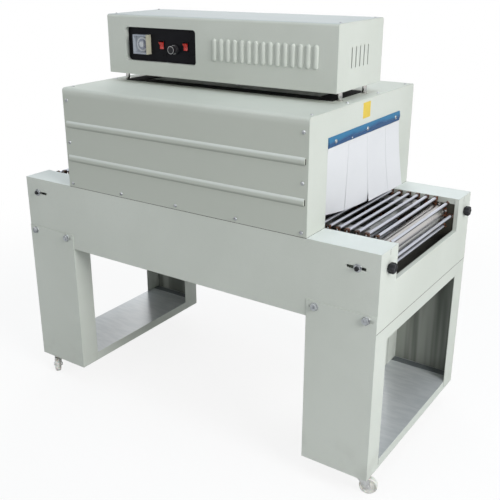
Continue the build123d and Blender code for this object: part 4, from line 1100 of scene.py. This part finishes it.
# %% Thermostat dial
MARKS, MARK_END, HALF_MARK, MARK_TOP = 28, 0.0182, 0.00025, 0.00025
dial_at = moved(middle_of("thermostat_dial"), PLATE - 0.0043)
profile = [(0.0215, 0), (0.022, 0.0006), (0.022, 0.003), (0.0212, 0.0042), (0.0196, 0.0042)]
profile += [(0.019, 0.0034), (0.0088, 0.0034), (0.0086, 0.0084), (0.0076, 0.0092)]
form = turned(bmesh.new(), profile, 64, dial_at, forward)
settle("dial_disc", form, dial, "heat_setting", ("thermostat_dial",), 40)
form = bmesh.new()
for i in range(MARKS):
    turn = Matrix.Translation(dial_at + forward * 0.0035) @ Matrix.Rotation(radians(225 - i * 10), 4, "Y")
    start = MARK_END - (0.0034 if i % 3 == 0 else 0.002)
    foot = [(start, -HALF_MARK), (MARK_END, -HALF_MARK), (MARK_END, HALF_MARK), (start, HALF_MARK)]
    loft(form, [[turn @ Vector((r, -h, w)) for r, w in foot] for h in (0, MARK_TOP)])
settle("dial_marks", outward(form), satin, "heat_setting")

# %% [markdown]
# The thermostat's box is milky plastic with a clear lid over the well and a beige side, which the camera sees
# as a strip on its right.

# %% Thermostat lid and side
RIM, LID_WALL, SIDE_WALL, SIDE_STRIP = 0.004, 0.0012, 0.0007, 0.011
low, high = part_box("thermostat")
lid_back = low.y - 0.0001
corners = (low.x + RIM, lid_back - LID_WALL, low.z + RIM), (high.x - SIDE_STRIP, lid_back, high.z - RIM)
settle("thermostat_lid", rounded(slab(bmesh.new(), *corners), 0.0005), lid, "machine")
front, rear = low.y - 0.0008, PLATE - 0.0005
corners = (high.x - RIM, front, low.z - 0.0002), (high.x + SIDE_WALL, rear, high.z + 0.0002)
settle("thermostat_side", rounded(slab(bmesh.new(), *corners), 0.0006), beige, "machine")

# %% [markdown]
# Each curtain is four lapped strips of coated cloth under one clamp. A strip is a fine grid that keeps its
# length as it bends: each row hangs lower by what its lean leaves over. The strip may lean more at one edge
# than at the other, ripple a little, and flick at a corner of its foot.

# %% A strip of curtain
DROP, CLOTH_TOP, HANG_X, LAP = 0.2, 0.9571, 0.4387, 0.0004
COLUMNS, ROWS, TAIL, RIPPLE = 14, 30, 0.8, 0.0012


def lean_at(s, t, lean_a, lean_b, flick_a, flick_b):
    """How far a strip leans out at a share s of its width and t of its length."""
    tail = max(0.0, (t - TAIL) / (1 - TAIL)) ** 2
    flick = (1 - s) ** 3 * flick_a + s**3 * flick_b
    return ((1 - s) * lean_a + s * lean_b) * t**1.5 + flick * tail


def strip(form, uv, sign, number, near, far, bend):
    """Adds one strip between two places across, with its number in the lap."""
    grid = []
    for i in range(COLUMNS + 1):
        s, line, z, before = i / COLUMNS, [], CLOTH_TOP, 0.0
        y = near + s * (far - near)
        for j in range(ROWS + 1):
            t = j / ROWS
            x = lean_at(s, t, *bend) + RIPPLE * sin(pi * s) * sin(2.6 * t + 1.3 * number) * t
            if j:
                z -= ((DROP / ROWS) ** 2 - (x - before) ** 2) ** 0.5
            before = x
            place = (MIDDLE + sign * (HANG_X + number * LAP + x), y, z)
            line.append((form.verts.new(place), (y, t * DROP)))
        grid.append(line)
    for i in range(COLUMNS):
        for j in range(ROWS):
            quad = (grid[i][j], grid[i + 1][j], grid[i + 1][j + 1], grid[i][j + 1])[::-sign]
            face = form.faces.new([corner for corner, _ in quad])
            for loop, (_, place) in zip(face.loops, quad):
                loop[uv].uv = place


print("a strip has", COLUMNS * ROWS, "faces")

# %% [markdown]
# Goods have pushed most strips a little outwards. At the outfeed end the first strip has swung in at its free
# edge, and a flicked corner opens a small dark notch between the second strip and the third. Solidify gives
# the grids the thickness of cloth.

# %% Curtains
CLOTH = 0.00035
EDGES = [(-0.2248, -0.1035), (-0.1065, 0.0105), (0.008, 0.131), (0.128, 0.2246)]


def curtain(name, sign, bends, node, body):
    """Hangs four strips, whose bends are lean, lean, flick, flick: at the foot, for the two edges."""
    form = bmesh.new()
    uv = form.loops.layers.uv.new("weave")
    for number, ((near, far), bend) in enumerate(zip(EDGES, bends)):
        strip(form, uv, sign, number, near, far, bend)
    holder = added(name + "_flat", mesh_of(name + "_flat", form))
    wall = holder.modifiers.new("wall", "SOLIDIFY")
    wall.thickness, wall.offset = CLOTH, 0
    piece = settle(name, kept_mesh(holder), cloth, body, (node,), 60)


bends = [(-0.040, -0.0043, 0, 0), (-0.004, 0.014, 0, -0.006)]
bends += [(0.0143, 0.021, 0.001, 0), (0.0213, 0.0235, 0, 0)]
curtain("right_cloth", 1, bends, "right_curtain", "right_flap")
bends = [(0.004, 0.006, 0, 0), (0.007, 0.009, 0, 0), (0.011, 0.013, 0.002, 0), (0.0135, 0.016, 0, 0.004)]
curtain("left_cloth", -1, bends, "left_curtain", "left_flap")

# %% [markdown]
# Patterns have done their work, so they are taken away before the scene is closed.

# %% Remove the patterns
for holder in holders:
    bpy.data.objects.remove(holder)
print("removed", len(holders), "patterns")

# %% [markdown]
# The background is white all round for the camera and for reflections, but lights the machine with less
# than a third of that, so that the lamps still shape it.

# %% Background
AMBIENT = 0.3
scene = bpy.context.scene
scene.view_settings.view_transform = "Standard"
world = bpy.data.worlds.new("studio")
scene.world = world
world.use_nodes = True
sky = Graph(world.node_tree)
path = world.node_tree.nodes.new("ShaderNodeLightPath")
seen = Value(sky, path.outputs["Is Camera Ray"])
for kind in ("Is Glossy Ray", "Is Transmission Ray"):
    seen = seen.maths("MAXIMUM", seen, Value(sky, path.outputs[kind]))
backdrop = world.node_tree.nodes["Background"]
world.node_tree.links.new((AMBIENT + (1 - AMBIENT) * seen).socket, backdrop.inputs["Strength"])
backdrop.inputs["Color"].default_value = (1, 1, 1, 1)
print("background", world.name)

# %% [markdown]
# The floor is pale and keeps the machine's soft shadow. For the camera alone it fades into the white
# background, by a mix of the floor's own shader and a plain emission.

# %% Floor
FLOOR = 14
floor_mesh = bpy.data.meshes.new("floor")
corners = [(-FLOOR, -FLOOR, 0), (FLOOR, -FLOOR, 0), (FLOOR, FLOOR, 0), (-FLOOR, FLOOR, 0)]
floor_mesh.from_pydata(corners, [], [(0, 1, 2, 3)])
floor = added("floor", floor_mesh)
pale = Finish("pale_floor", Roughness=0.9, Specular_IOR_Level=0.0)
camera_ray = pale.node("ShaderNodeLightPath", out="Is Camera Ray")
pale.feed(Base_Color=pale.mix((0.75, 0.75, 0.75), (0.9, 0.9, 0.9), camera_ray))
away = pale.vector("LENGTH", pale.here, out="Value")
share = camera_ray * pale.between(away, 1.1, 2.6, 0.86, 1.0)
white = pale.node("ShaderNodeEmission", {}, {"Color": (1, 1, 1, 1), "Strength": 1.0})
blend = pale.node("ShaderNodeMixShader", {}, {0: share, 1: Value(pale, pale.shader.outputs[0]), 2: white})
pale.tree.links.new(blend.socket, pale.tree.nodes["Material Output"].inputs["Surface"])
floor_mesh.materials.append(pale.material)
print("floor", 2 * FLOOR, "m wide")

# %% [markdown]
# Soft lamps light the machine. The light is stronger from the outfeed side, as in the photo, so the end faces
# are the lightest and the front lies in soft shade. A wide sun overhead gives the tops their cool tone.


# %% Lamps
def lamp(name, place, aim, size, power):
    """Adds a square lamp at a place, turned to what it lights; sizes in metres, power in watts."""
    light = bpy.data.lights.new(name, "AREA")
    light.size, light.energy = size, power
    added(name, light).matrix_world = Matrix.Translation(place) @ standing(Vector(place) - Vector(aim))


lamp("outfeed_light", (4.1, -1.3, 2.8), (0, 0, 0.6), 2.0, 140)
lamp("front_light", (-1.8, -4.4, 2.6), (0, 0, 0.4), 2.6, 22)
lamp("back_light", (-2.4, 3.6, 2.6), (0, 0, 0.8), 2.4, 45)
overhead = bpy.data.lights.new("overhead", "SUN")
overhead.energy, overhead.angle, overhead.color = 0.86, radians(35), (0.8, 0.92, 1.0)
added("overhead", overhead)
print("lamps", len(bpy.data.lights))
